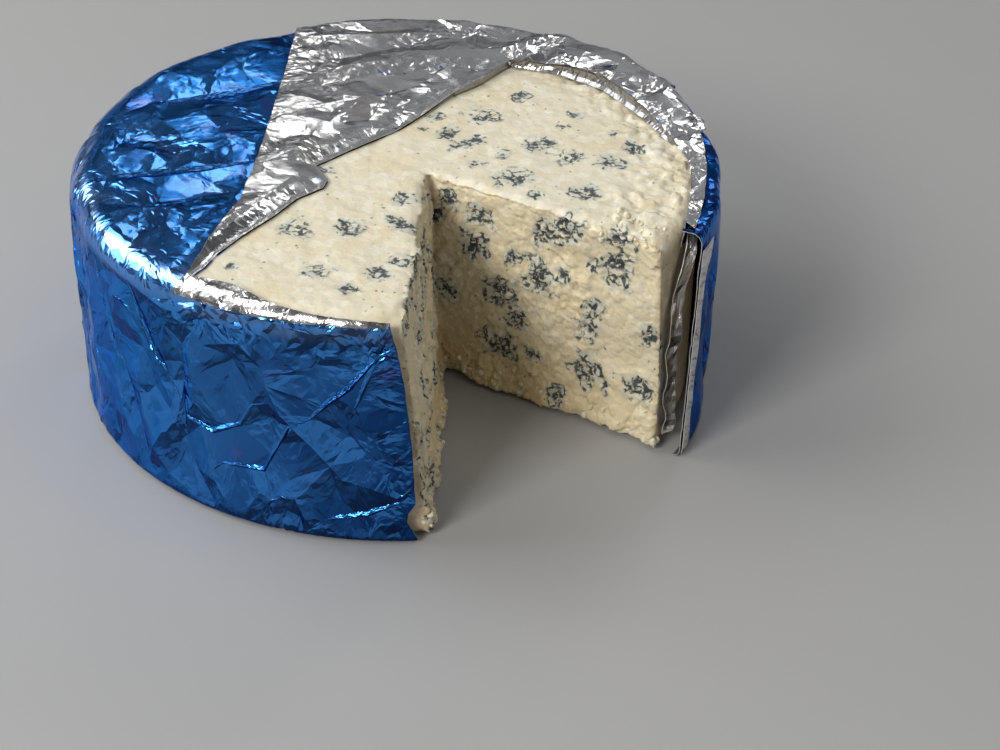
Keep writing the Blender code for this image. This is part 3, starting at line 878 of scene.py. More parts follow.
    def rind_face(self, rims: Array, rng: np.random.Generator) -> Surface:
        """The outside of the wheel, laid out by distance round it and up it."""
        profile = self.rind_profile()
        start, end = self.rind_ends(self.radius, self.base)
        length = (end - start) * self.radius
        height = profile[-1, 0]
        low = np.stack([rims * length, np.zeros_like(rims)], axis=1)
        high = np.stack([rims[::-1] * length, np.full_like(rims, height)], axis=1)
        left = np.stack([np.full(len(profile), length), profile[:, 0]], axis=1)
        right = np.stack([np.zeros(len(profile)), profile[::-1, 0]], axis=1)
        outline = np.vstack([low[:-1], left[:-1], high[:-1], right[:-1]])
        coarse = scattered(outline, self.hidden_step, rng)
        fine = scattered(outline, self.top_step, rng)
        bare_end = rims[np.argmax(np.diff(rims)) - 1] * length
        shown = (fine[:, 0] < bare_end) & (fine[:, 1] > height - 22)
        shown |= (fine[:, 0] < 7) | (fine[:, 0] > length - 7)
        near = clearance(coarse, np.array([(0, height), (bare_end, height)]), False) < 24
        near |= (coarse[:, 0] < 9) | (coarse[:, 0] > length - 9)
        inside = np.vstack([fine[shown], coarse[~near]])
        flat, faces, _ = triangulated(outline, inside)
        return Surface(self.on_rind(flat[:, 0] / length, flat[:, 1]), faces)

    def flat_face(self, z: float, radius: float, rims: Array, rng: np.random.Generator) -> Surface:
        """The top or the base of the wheel."""
        on_top = z == self.top
        up = self.rind_profile()[-1 if on_top else 0, 0]
        right = self.on_cut(Cut.RIGHT, spaced(0, self.cut_length(Cut.RIGHT, radius, z), self.cut_step)[:-1], z)
        around = self.on_rind(rims[:-1], np.full(len(rims) - 1, up))
        left = self.on_cut(Cut.LEFT, spaced(self.cut_length(Cut.LEFT, radius, z), 0, self.cut_step)[:-1], z)
        outline = np.vstack([right, around, left])[:, :2]
        coarse = scattered(outline, self.hidden_step, rng)
        if on_top:
            fine = scattered(outline, self.top_step, rng)
            bare = self.is_bare(fine, 5)
            coarse = coarse[~self.is_bare(coarse, 8)]
            coarse = np.vstack([fine[bare], coarse])
        flat, faces, _ = triangulated(outline, coarse)
        if not on_top:
            faces = faces[:, ::-1]
        return Surface(np.column_stack([flat, np.full(len(flat), z)]), faces)

    def is_bare(self, points: Array, spare: float) -> Array:
        """Which places of the top the foil leaves bare, with some to spare."""
        tear = np.array(FoilWrap.TEAR_ACROSS, float)
        edge = np.interp(points[:, 1], tear[:, 1], tear[:, 0])
        front = (points[:, 1] < tear[0, 1]) & (turned(points) < 0)
        return (points[:, 0] > edge - spare) | front

    def beside_cut(self, cut: Cut, points: Array) -> tuple[Array, Array]:
        """Distance along a cut, and distance from it towards the notch, of points anywhere."""
        turn = self.heading(cut, points[:, 2])
        away = points[:, :2] - self.corner(points[:, 2])
        along = away[:, 0] * np.cos(turn) + away[:, 1] * np.sin(turn)
        across = away[:, 1] * np.cos(turn) - away[:, 0] * np.sin(turn)
        return along, across

    def from_middle(self, points: Array) -> Array:
        """How far each point is from the wheel's own axis."""
        return np.linalg.norm(points[:, :2] - self.centre, axis=1)

    def near_cut(self, points: Array) -> Array:
        """How far each point is from the nearer of the two cuts."""
        nearest = np.full(len(points), np.inf)
        for cut in Cut:
            along, across = self.beside_cut(cut, points)
            nearest = np.minimum(nearest, np.where(along > -0.5, np.abs(across), np.hypot(along, across)))
        return nearest

    def mould(self, points: Array, on_cut: Array) -> Array:
        """How deep inside a mould cluster each point is, 0 to about 1.

        Args:
            points: Points of the finished skin.
            on_cut: 1 on the broken faces, 0 elsewhere.

        Returns:
            The cluster value.
        """
        grain = Grain(self.seed + 40)
        ragged = grain.fractal(points, 3.2, 2) * 0.42
        total = np.zeros(len(points))

        def add(away: Array, size: float) -> None:
            """Adds one cluster by its distance field."""
            np.maximum(total, 1.18 - away / (size * 0.66) * 0.9 + ragged, out=total)

        for x, y, size in self.TOP_SPOTS:
            flat = np.linalg.norm(points[:, :2] - (x, y), axis=1)
            add(np.hypot(flat, (points[:, 2] - self.top) * 1.5), size)
        along, across = self.beside_cut(Cut.RIGHT, points)
        for x, z, size in self.RIGHT_SPOTS:
            add(np.sqrt((along - x)**2 + (points[:, 2] - z)**2 + across**2), size)
        along, across = self.beside_cut(Cut.LEFT, points)
        facing = (np.abs(across) < 4) & (along > 2) & (on_cut > 0.5)
        first, _, chance = Grain(self.seed + 41).lumps(points * (1, 1, 0.55), self.vein)
        veins = np.where(facing & (chance < 0.88), 1.30 - first * 1.7 + ragged, 0)
        return np.clip(np.maximum(total, veins), 0, 1.2)

    def roughened(self, skin: Surface) -> Surface:
        """Gives the smooth skin its curds, crags, pits, chips and mould."""
        points = skin.points
        normals = skin.normals()
        grain = Grain(self.seed)
        near = self.near_cut(points)
        up = points[:, 2] - self.base
        is_base = up < 0.01
        on_top = (self.top - points[:, 2] < 0.01) & (near > 0.01)
        on_cut = (near < 0.05).astype(float)
        rim_radius = self.from_middle(points)

        crags = grain.fractal(points, self.crag, 3) * self.crag_depth
        first, gap, chance = grain.lumps(points + grain.smooth(points, 6.0)[:, None] * 0.8, self.curd)
        fine_first, fine_gap, fine_chance = Grain(self.seed + 3).lumps(points, self.curd * 0.45)
        crumbly = ease(0.55 + 1.3 * Grain(self.seed + 9).smooth(points, 17.0) + 0.35 * ease(1 - up / 22))
        curds = (chance - 0.5) * 2.1 + 0.3 * (1 - first**2) - 0.9 * ease(1 - gap / 0.10)
        curds = self.curd_depth * blend(0.45, 1.05, crumbly) * curds
        fine = (fine_chance - 0.5) * 1.3 + 0.5 * (1 - fine_first**2) - 0.5 * ease(1 - fine_gap / 0.2)
        fine = 0.40 * crumbly * fine

        foot = ease(1 - up / self.foot_height)
        knob_first, _, knob_chance = Grain(self.seed + 6).lumps(points, self.knob)
        knobs = foot * (0.6 + 2.0 * np.clip(0.75 - knob_first, 0, 1) * knob_chance) * self.foot_bulge

        mould = self.mould(points, on_cut)
        hollow = ease((mould - 0.55) / 0.4) * (0.5 + 0.9 * ease(1 - gap / 0.3))
        move = on_cut * (crags + curds + fine + knobs - 0.9 * hollow)

        pit_first, _, pit_chance = Grain(self.seed + 12).lumps(points, self.pit)
        pits = np.where(pit_chance < 0.3, ease(1 - pit_first / 0.24), 0) * 0.45
        soft = Grain(self.seed + 13).fractal(points, 7.0, 3) * 0.3
        edge_zone = ease((rim_radius - self.crumbled_from) / self.crumbled_over) * ease((points[:, 0] - 30) / 30)
        flakes = edge_zone * ((chance - 0.62) * 1.9 - 0.5 * ease(1 - gap / 0.12) + (fine_chance - 0.5) * 0.5)
        top_move = soft + 0.08 * (fine_chance - 0.5) - pits - 0.30 * hollow + flakes
        covered = ~self.is_bare(points, 4)
        top_move = np.where(covered, self.covered_top, top_move)
        move = np.where(on_top, top_move, move)

        on_rim = (on_cut < 0.5) & ~on_top & ~is_base
        bark = Grain(self.seed + 20).fractal(points, 5.0, 3) * 0.35 + (fine_chance - 0.5) * 0.4 - 0.35
        shown = ease(1 - near / 9) + ease((points[:, 2] - self.top + self.rim_round) / 4) * ~covered
        move = np.where(on_rim, np.minimum(bark, 0.3) * np.clip(shown, 0, 1), move)

        direction = normals.copy()
        direction[is_base, 2] = 0
        lip = ease(1 - near / self.edge_width) * ease(1 - (self.top - points[:, 2]) / self.edge_width)
        nick_first, _, nick_chance = Grain(self.seed + 25).lumps(points * (1, 1, 0.3), self.nick)
        nicks = np.where(nick_chance < 0.62, ease(1.1 - nick_first), 0) * self.edge_chip
        moved = points + direction * move[:, None]
        moved[:, 2] -= lip * (nicks * 0.55 + 0.25 + 0.5 * np.abs(grain.smooth(points, 2.6)))
        moved -= normals * (1, 1, 0) * (lip * nicks * 0.5 * on_cut)[:, None]

        out = moved[:, :2] - self.centre
        shrink = np.minimum(1, (self.radius + 0.1) / np.maximum(self.from_middle(moved), 1e-6))
        moved[:, :2] = self.centre + out * shrink[:, None]
        moved[:, 2] = np.where(is_base, self.base, np.maximum(moved[:, 2], self.base + 0.02))

        low_rim = ease((self.top - 2.0 - points[:, 2]) / 5.0)
        rind = np.where(on_rim, 0.25 + 0.5 * low_rim, 0.0)
        rind = np.maximum(rind, ease((rim_radius - self.radius + 3.0) / 3) * 0.35 * (on_cut < 0.5))
        rind = np.maximum(rind, on_cut * ease((rim_radius - self.radius + 2.2) / 1.6) * 0.6)
        apex = np.linalg.norm(points[:, :2] - np.array(self.apex_at_base), axis=1)
        # Painted shade: how much browner each point of the broken faces is painted, more towards the foot and the
        # notch's inner corner.
        painted_warm_shade = on_cut * (0.28 + 0.62 * ease(1 - up / 34) * ease(1.3 - apex / 70))
        return Surface(moved, skin.faces, notes={"mould": mould, "rind": np.clip(rind, 0, 1), "painted_warm_shade": painted_warm_shade})

    def crumb_beds(self, skin: Surface) -> Surface:
        """Where crumbs cling: the feet of both cuts, and the chipped rim beside the right one."""
        middle = skin.points[skin.faces].mean(axis=1)
        near = self.near_cut(middle)
        on_foot = (middle[:, 2] < self.base + 7) & (middle[:, 2] > self.base + 1.0) & (near < 4.5)
        rim = self.from_middle(middle)
        chipped = (middle[:, 2] > self.top - 5) & (near < 12) & (rim > 74) & (rim < 92) & (middle[:, 0] > 30)
        return Surface(skin.points, skin.faces[on_foot | chipped])

    def build(self, origin: Array) -> bpy.types.Object:
        """Makes the wheel and dresses it.

        Args:
            origin: The wrap's axis on the floor.

        Returns:
            The piece.
        """
        rng = np.random.default_rng(self.seed)
        rims = self.rim_shares()
        parts = [
            self.cut_face(Cut.LEFT, rng),
            self.cut_face(Cut.RIGHT, rng),
            self.rind_face(rims, rng),
            self.flat_face(self.top, self.radius - self.rim_round, rims, rng),
            self.flat_face(self.base, self.radius - self.foot_round, rims, rng),
        ]
        skin = self.roughened(joined(parts).merged())
        mesh = skin.mesh("cheese_wheel", origin)
        paste = CheeseFinish().material()
        mesh.materials.append(paste)
        Crumbs().build(self.crumb_beds(skin).mesh(CRUMB_BEDS, origin), paste)
        return make_piece("cheese_wheel", mesh, "cheese")


@dataclass(frozen=True)
class Crumbs:
    """Small crumbs that cling to the cheese, scattered by Geometry Nodes.

    Attributes:
        density: Crumbs to the square metre.
        smallest: Radius of the smallest, in millimetres.
        largest: Radius of the largest, in millimetres.
        uneven: How far their surface is pushed about, in millimetres.
        seed: Picks their places.
    """

    density: float = 125000.0
    smallest: float = 0.28
    largest: float = 1.5
    uneven: float = 1.1
    seed: int = 4

    def _group(self, paste: bpy.types.Material) -> bpy.types.NodeTree:
        """The node group that strews crumbs over a surface."""
        group = bpy.data.node_groups.new("strewn crumbs", "GeometryNodeTree")
        kinds = {"Beds": "Geometry", "Density": "Float", "Smallest": "Float", "Largest": "Float",
                 "Uneven": "Float", "Seed": "Int"}
        for name, kind in kinds.items():
            group.interface.new_socket(name, in_out="INPUT", socket_type=f"NodeSocket{kind}")
        group.interface.new_socket("Crumbs", in_out="OUTPUT", socket_type="NodeSocketGeometry")
        board = Board(group)
        entry = board.node("NodeGroupInput")
        given = {name: Signal(board, entry.outputs[name]) for name in kinds}
        points = board.add("GeometryNodeDistributePointsOnFaces", None,
                           {"Mesh": given["Beds"], "Density": given["Density"], "Seed": given["Seed"]})
        chance = board.add("FunctionNodeRandomValue", {"data_type": "FLOAT"}, {"Seed": given["Seed"]}, 1)
        size = given["Smallest"] + (given["Largest"] - given["Smallest"]) * chance * chance * chance
        turn = board.add("FunctionNodeRandomValue", {"data_type": "FLOAT_VECTOR"}, {1: (math.tau,) * 3})
        squash = board.add("FunctionNodeRandomValue", {"data_type": "FLOAT_VECTOR"},
                           {0: (0.7, 0.7, 0.6), 1: (1.25, 1.25, 1.0)})
        ball = board.add("GeometryNodeMeshIcoSphere", None, {"Radius": 1.0, "Subdivisions": 3})
        strewn = board.add("GeometryNodeInstanceOnPoints", None, {
            "Points": points, "Instance": ball, "Rotation": turn, "Scale": board.vector("MULTIPLY", squash, size),
        })
        real = board.add("GeometryNodeRealizeInstances", None, {"Geometry": strewn})
        here = board.add("GeometryNodeInputPosition")
        push = board.vector("SUBTRACT", board.noise(here, 1.3, 2.0, 1), (0.5, 0.5, 0.5))
        moved = board.add("GeometryNodeSetPosition", None,
                          {"Geometry": real, "Offset": board.vector("MULTIPLY", push, given["Uneven"])})
        smooth = board.add("GeometryNodeSetShadeSmooth", None, {"Geometry": moved})
        dressed = board.add("GeometryNodeSetMaterial", None, {"Geometry": smooth, "Material": paste})
        board.node("NodeGroupOutput", None, {"Crumbs": dressed})
        return group

    def build(self, beds: bpy.types.Mesh, paste: bpy.types.Material) -> bpy.types.Object:
        """Strews the crumbs and makes them one plain mesh.

        Args:
            beds: The surface that they cling to.
            paste: The cheese's material.

        Returns:
            The piece.
        """
        carrier = bpy.data.objects.new(CRUMB_BEDS, beds)
        bpy.context.scene.collection.objects.link(carrier)
        modifier = carrier.modifiers.new("crumbs", "NODES")
        modifier.node_group = self._group(paste)
        values = {"Density": self.density, "Smallest": self.smallest * MM, "Largest": self.largest * MM,
                  "Uneven": self.uneven * MM, "Seed": self.seed}
        for item in modifier.node_group.interface.items_tree:
            if item.name in values:
                modifier[item.identifier] = values[item.name]
        graph = bpy.context.evaluated_depsgraph_get()
        mesh = bpy.data.meshes.new_from_object(carrier.evaluated_get(graph))
        mesh.name = "cheese_crumbs"
        bpy.data.objects.remove(carrier)
        return make_piece("cheese_crumbs", mesh, "cheese")


# ---- Foil ----------------------------------------------------------------------------------------

@dataclass(frozen=True)
class Pleat:
    """One long crease of the foil.

    Attributes:
        line: Its places on the laid-out sheet.
        height: How far its crest stands out, in millimetres; a valley is negative.
        width: How wide it is; a fold of no width only tilts the panels on both sides of it.
    """

    line: Places
    height: float
    width: float = 0.0


@dataclass
class CrumpledSheet:
    """A sheet of foil that is creased at ever finer scales.

    It starts as large facets between pleats and random creases. Each level splits every
    facet in four and pushes the new corners out or in, so the creases stay sharp.

    Attributes:
        outline: Its edge on the laid-out sheet.
        seeds: The first, coarse points inside the outline.
        depth: How far the first points stand out or in, for each place of the layout.
        busy: How much finer creasing there is, for each place of the layout.
        fine: How far each level pushes its new corners, from the first split to the last.
        spacing: How far apart the seeds are; shorter edges are pushed less.
        seed: Picks the creases.
        pleats: The long creases.
        wobble: How far new corners stray sideways, as a share of their edge.
        slide: How far new corners stray along their edge, as a share of it.
        steadied: What is left of the wobble, and of the push, along a pleat or the outline.
        plain: Which places keep the larger facets of the last level but one.
    """

    outline: Array
    seeds: Array
    depth: Measure
    busy: Measure
    fine: tuple[float, ...]
    spacing: float
    seed: int
    pleats: tuple[Pleat, ...] = ()
    wobble: float = 0.10
    slide: float = 0.16
    steadied: Place = (0.03, 0.3)
    plain: Measure | None = None

    def _pleat_lines(self) -> tuple[list[Array], list[Array]]:
        """The crest and the two feet of each pleat, and their heights."""
        lines: list[Array] = []
        heights: list[Array] = []
        for pleat in self.pleats:
            crest = densified(np.array(pleat.line, float), 7.0)
            taper = np.sin(np.linspace(0.15, math.pi - 0.15, len(crest)))
            if pleat.width == 0:
                lines.append(crest)
                heights.append(pleat.height * np.sqrt(taper))
                continue
            along = np.gradient(crest, axis=0)
            side = np.stack([-along[:, 1], along[:, 0]], axis=1) / rows(along) * pleat.width / 2
            side *= (0.35 + 0.65 * taper)[:, None]
            lines += [crest, crest + side, crest - side]
            heights += [pleat.height * taper, -0.25 * pleat.height * taper, -0.35 * pleat.height * taper]
        return lines, heights

    def build(self) -> tuple[Array, Array, Array]:
        """Makes the creased layout.

        Returns:
            Places on the layout, how far each stands out, and the triangles.
        """
        rng = np.random.default_rng(self.seed)
        lines, heights = self._pleat_lines()
        seeds = self.seeds
        for line in lines:
            seeds = seeds[clearance(seeds, line, False) > 3.0]
        flat, faces, source = triangulated(self.outline, seeds, lines)
        height = rng.uniform(-1, 1, len(flat)) * self.depth(flat)
        given = np.concatenate([np.full(len(self.outline), np.nan), *heights])
        names = np.array(source)
        named = (names >= 0) & (names < len(given))
        values = np.where(named, given[np.where(named, names, 0)], np.nan)
        height = np.where(np.isnan(values), height, values + height * 0.12)
        height = np.where(names < len(self.outline), np.where(names >= 0, height * 0.35, height), height)
        firm = ~np.isnan(values)
        for level, push in enumerate(self.fine):
            kept = np.zeros(len(faces), bool)
            if self.plain is not None and level == len(self.fine) - 1:
                kept = self.plain(flat[faces].mean(axis=1))
            flat, height, faces, firm = self._split(
                flat, height, faces, firm, kept, push, self.spacing / 2**level, rng,
            )
        used, faces = np.unique(faces, return_inverse=True)
        return flat[used], height[used], faces.reshape(-1, 3)

    def _split(self, flat: Array, height: Array, faces: Array, firm: Array, kept: Array, push: float,
               length: float, rng: np.random.Generator) -> tuple[Array, Array, Array, Array]:
        """Splits each facet in four and pushes the new corners about, those along a pleat less."""
        ends = np.sort(sides_of(faces), axis=1)
        edges, index, count = np.unique(ends, axis=0, return_inverse=True, return_counts=True)
        a, b = flat[edges[:, 0]], flat[edges[:, 1]]
        middle = (a + b) / 2
        held = firm[edges].all(axis=1)
        steady = held | (count == 1)
        slide = rng.uniform(-1, 1, len(edges))[:, None] * (b - a) * self.slide
        across = np.stack([-(b - a)[:, 1], (b - a)[:, 0]], axis=1) * rng.uniform(-1, 1, len(edges))[:, None]
        across *= np.where(steady, self.steadied[0], self.wobble)[:, None]
        middle = middle + slide + across
        raised = (height[edges[:, 0]] + height[edges[:, 1]]) / 2
        held_back = np.where(steady, self.steadied[1], 1)
        share = np.clip(rows(b - a)[:, 0] / length, 0, 1) ** 1.5
        raised += rng.uniform(-1, 1, len(edges)) * push * self.busy(middle) * held_back * share
        sides = index.reshape(3, -1).T
        wanted = np.zeros(len(edges), bool)
        wanted[sides[~kept]] = True
        split = self._parts(faces, len(flat) + sides, wanted[sides])
        return np.vstack([flat, middle]), np.concatenate([height, raised]), split, np.concatenate([firm, held])

    @staticmethod
    def _parts(faces: Array, middles: Array, cut: Array) -> Array:
        """Splits facets at the middles of their cut sides, so that no gap opens between them."""
        many = cut.sum(axis=1)
        first = np.where(many == 2, (cut.argmin(axis=1) + 1) % 3, cut.argmax(axis=1))
        order = (first[:, None] + np.arange(3)) % 3
        a, b, c = np.take_along_axis(faces, order, axis=1).T
        ab, bc, ca = np.take_along_axis(middles, order, axis=1).T
        rules = {
            3: ((a, ab, ca), (b, bc, ab), (c, ca, bc), (ab, bc, ca)),
            2: ((ab, b, bc), (a, ab, bc), (a, bc, c)),
            1: ((a, ab, c), (ab, b, c)),
            0: ((a, b, c),),
        }
        return np.vstack([np.column_stack(part)[many == sort] for sort, parts in rules.items() for part in parts])


@dataclass
class FoilWrap:
    """The sheet of foil round the wheel, and what is folded back along its torn edge.

    The sheet is laid out flat by compass angle and distance over it from the wheel's axis.
    Lengths are millimetres, angles are degrees. Rows of places are x and y of the layout, or an
    angle or a height with what goes with it.
    """

    radius: float = 100.6
    top: float = 77.2
    base_turn: float = 2.5
    right_bulge: float = 4.2
    bulge_from: float = -1.0
    wall_depth: float = 1.15
    cover_depth: float = 0.80
    band_lift: float = 3.3
    band_middle: float = 32.0
    band_spread: float = 40.0
    flap_gap: float = 0.45
    floor: float = 0.05
    thickness: float = 0.16
    sharp: float = 4.5
    sheet_step: float = 12.0
    fold_step: float = 9.0
    lip_step: float = 5.0
    hem_step: float = 4.0
    sink: float = 1.15
    collar_steps: int = 4
    collar_foot: Place = (76.1, 69.0)
    collar_reach: float = 96.7
    behind: Place = (24.0, 150.0)
    highest: float = 81.2
    seed: int = 21
    materials: list[bpy.types.Material] = field(default_factory=list)

    SHOULDERS: ClassVar[Places] = (
        (-180, 10.5), (-150, 7), (-90, 3.5), (-30, 3), (0, 3.5), (60, 5), (120, 8), (180, 10.5),
    )
    TEAR_ACROSS: ClassVar[Places] = (
        (-53.6, -77.5), (-50.5, -72), (-48, -65), (-42, -54), (-34, -42), (-28, -31), (-20.8, -24),
        (-19.6, -19), (-24, -10), (-14, 1), (-1, 14), (9, 28), (17, 41), (25, 49), (35, 64),
    )
    TEAR_BACK: ClassVar[Places] = ((52, 58), (66, 47), (78, 28), (86, 10), (92, -9))
    FLAP_EDGE: ClassVar[Places] = (
        (-100, -58), (-82, -56.3), (-60, -50.6), (-36, -44.6), (0, -41.7), (57, -39.2), (110, -38),
    )
    LEFT_EDGE: ClassVar[Places] = (
        (0, -83.9), (3, -83.6), (7, -84.6), (11, -85.8), (16, -84.0), (37, -84.6), (58, -85.8), (70, -87.0),
        (77, -88.0),
    )
    RIGHT_EDGE: ClassVar[Places] = ((0, -30.5), (77, -28.0))
    RIGHT_TEAR: ClassVar[Places] = ((-28, 98.0), (-19, 94.6), (-12, 92.6))
    LIP_WIDTH: ClassVar[Places] = ((-124.6, 5.0), (-117, 7.6), (-112, 5.6), (-107, 2.9), (-100, 1.6), (-88, 0.5))
    RIM_OVERHANG: ClassVar[Places] = (
        (-27.2, -3.4), (-20, -5.0), (-14, -5.0), (-5, -4.4), (8, -4.2), (18, -3.0), (30, 0.0), (45, 2.0), (114, 3.4),
    )
    INNER_EDGE: ClassVar[Places] = ((4, -28.8), (20, -29.6), (45, -30.2), (60, -28.0), (73.5, -23.0))
    BAND_CREASE: ClassVar[Places] = (
        (64, 82), (57, 99), (50, 83), (42, 100), (35, 85), (27, 100), (19, 87), (11, 100), (3, 91), (-5, 100),
    )

    @staticmethod
    def at(turn: float, reach: float) -> tuple[float, float]:
        """A place of the layout for an angle in degrees and a distance over the sheet."""
        return reach * math.cos(math.radians(turn)), reach * math.sin(math.radians(turn))

    def shoulder(self, angle: Array) -> Array:
        """The radius of the turn from wall to top, by angle in radians."""
        degrees = (np.degrees(angle) + 180) % 360 - 180
        places, sizes = np.array(self.SHOULDERS, float).T
        index = np.clip(np.searchsorted(places, degrees) - 1, 0, len(places) - 2)
        share = ease((degrees - places[index]) / (places[index + 1] - places[index]))
        return blend(sizes[index], sizes[index + 1], share)

    def wall_radius(self, angle: Array) -> Array:
        """The wall's radius, with the stretch that stands off beside the right cut."""
        degrees = (np.degrees(angle) + 180) % 360 - 180
        bulge = ease((self.bulge_from - degrees) / (self.bulge_from + 28.0))
        return self.radius + np.where((degrees > -60) & (degrees < 90), self.right_bulge * bulge, 0)

    def full_reach(self, angle: Array) -> Array:
        """Distance over the sheet from the axis to the floor."""
        turn = self.shoulder(angle)
        wall = self.top - turn - self.base_turn
        return self.wall_radius(angle) - turn + turn * math.pi / 2 + wall + self.base_turn * math.pi / 2

    def reach_at(self, angle: Array, z: Array) -> Array:
        """Distance over the sheet down to a height on the wall."""
        turn = self.shoulder(angle)
        down = np.clip(self.top - turn - z, 0, None)
        return self.wall_radius(angle) - turn + turn * math.pi / 2 + down

    def on_sheet(self, flat: Array) -> tuple[Array, Array]:
        """Places and outward normals of the smooth sheet for places of the layout."""
        angle, reach = polar(flat)
        turn = self.shoulder(angle)
        level = self.wall_radius(angle) - turn
        around = turn * math.pi / 2
        wall = self.top - turn - self.base_turn
        past_turn = reach - level - around
        bend = np.where(
            reach <= level, math.pi / 2,
            np.where(past_turn <= 0, math.pi / 2 - (reach - level) / turn,
                     np.where(past_turn <= wall, 0.0, -(past_turn - wall) / self.base_turn)),
        )
        bend = np.maximum(bend, -math.pi / 2)
        over = np.clip(bend, 0, None)
        under = np.clip(bend, None, 0)
        radius = np.where(reach <= level, reach, level + turn * np.cos(over) - self.base_turn * (1 - np.cos(under)))
        z_over = self.top - turn * (1 - np.sin(over))
        z_wall = self.top - turn - np.clip(past_turn, 0, wall)
        z_under = self.base_turn * (1 + np.sin(under))
        z = np.where(past_turn <= 0, z_over, np.where(past_turn <= wall, z_wall, z_under))
        point = np.column_stack([self.laid_out(angle, radius), z])
        normal = np.stack([np.cos(bend) * np.cos(angle), np.cos(bend) * np.sin(angle), np.sin(bend)], axis=1)
        return point, normal

    @staticmethod
    def laid_out(angle: Array, reach: Array) -> Array:
        """Places of the layout for angles in radians and distances over the sheet."""
        return np.stack([reach * np.cos(angle), reach * np.sin(angle)], axis=-1)

    def sheet_seeds(self, outline: Array, step: float, rng: np.random.Generator) -> Array:
        """Points spaced evenly on the real sheet, not on its layout."""
        found = []
        stray = 0.34
        reach = step
        while reach < float(self.full_reach(np.array(math.pi))) - step * 0.4:
            count = max(5, round(2 * math.pi * min(reach, self.radius) / step))
            turn = np.arange(count) + rng.random() + rng.uniform(-stray, stray, count)
            turn = 2 * math.pi * turn / count
            found.append(self.laid_out(turn, reach + rng.uniform(-stray, stray, count) * step))
            reach += step * 0.87
        points = np.vstack(found)
        points = points[is_inside(points, outline)]
        return points[clearance(points, outline) > 0.35 * step]

    def _end(self, edge: Places, upwards: bool) -> Array:
        """One upright end of the sheet."""
        heights, turns = np.array(edge, float).T
        z = spaced(heights[0], heights[-1], 3.2)
        angle = np.radians(np.interp(z, heights, turns))
        high = self.wall_radius(angle)
        full = self.full_reach(angle)
        line = self.laid_out(angle, np.where(z <= 0, full, blend(full, high, z / heights[-1])))
        return line if upwards else line[::-1]

    def tear_line(self) -> tuple[Array, Array, Array]:
        """The torn edge: along the right rim, across the top, and along the front rim."""
        right_turn = np.radians(spaced(-28, -12, 2.2))
        right = self.laid_out(right_turn, np.interp(np.degrees(right_turn), *np.array(self.RIGHT_TEAR).T))
        across = densified(np.array(self.TEAR_ACROSS + self.TEAR_BACK, float)[::-1], 4.0)
        front_turn = np.radians(spaced(-124.6, -88, 2.0))
        lip = np.interp(np.degrees(front_turn), *np.array(self.LIP_WIDTH).T)
        front = self.laid_out(front_turn, self.wall_radius(front_turn) - lip)
        return right, across, front

    def hug(self, flat: Array) -> Array:
        """How far the sheet sinks onto the cheese beside the tear across the top."""
        across = densified(np.array(self.TEAR_ACROSS + self.TEAR_BACK[:1], float), 6.0)
        turn = turned(flat)
        left = np.where(turn < -60, 1.0, ease((turn - 60) / 22))
        return self.sink * left * ease(1 - clearance(flat, across, False) / 9.0)

    def _creased(self, outline: Array, spacing: float, seeds: tuple[int, int], depth: Measure, busy: Measure,
                 fine: tuple[float, ...], **more: Any) -> tuple[Array, ...]:
        """Creases a part of the sheet and lays it on the wheel.

        Args:
            outline: Its edge on the layout.
            spacing: How far apart its first facets' corners are.
            seeds: Pick those corners, and the creases.
            depth: As the crumpled sheet's.
            busy: As the crumpled sheet's.
            fine: As the crumpled sheet's.
            more: What else the crumpled sheet is told.

        Returns:
            Places on the layout, how far each stands out, the triangles, and the smooth sheet's
            points and normals there.
        """
        first = self.sheet_seeds(outline, spacing, np.random.default_rng(seeds[0]))
        sheet = CrumpledSheet(outline, first, depth, busy, fine, spacing, seeds[1], **more)
        flat, height, faces = sheet.build()
        return flat, height, faces, *self.on_sheet(flat)

    def _shell(self, name: str, top: Array, normal: Array, faces: Array, outer: int, inner: int) -> Surface:
        """A sheet with two faces and an edge, from its upper face.

        Args:
            name: Which piece it is, for the log.
            top: Points of its upper face.
            normal: The way its upper face looks.
            faces: Its triangles.
            outer: Slot of the upper face.
            inner: Slot of the lower face.

        Returns:
            The closed shell.
        """
        count = len(top)
        a, b = open_sides(faces).T
        sides = np.vstack([np.column_stack([b, a, a + count]), np.column_stack([b, a + count, b + count])])
        everything = np.vstack([faces, faces[:, ::-1] + count, sides])
        slots = np.concatenate([np.full(len(faces), outer), np.full(len(faces), inner), np.full(len(sides), 2)])
        points = np.vstack([top, top - normal * self.thickness])
        points[:, 2] = np.maximum(points[:, 2], self.floor)
        LOG.info("%s: shell of %d triangles", name, len(everything))
        shell = Surface(points, everything, slots)
        facing = shell.facings()
        # Painted light: upright faces that tilt up are painted paler, those that tilt down darker.
        upright = ease((0.75 - np.abs(facing[:, 2])) / 0.3)
        shell.painted_light_tones = np.clip(0.5 + 4.2 * facing[:, 2] * upright, 0, 1)
        return shell

    def _dress(self, name: str, shell: Surface, origin: Array) -> bpy.types.Object:
        """Makes a foil shell a piece with its three finishes."""
        mesh = shell.mesh(name, origin)
        mesh.set_sharp_from_angle(angle=math.radians(self.sharp))
        for material in self.materials:
            mesh.materials.append(material)
        return make_piece(name, mesh, "foil_wrap")

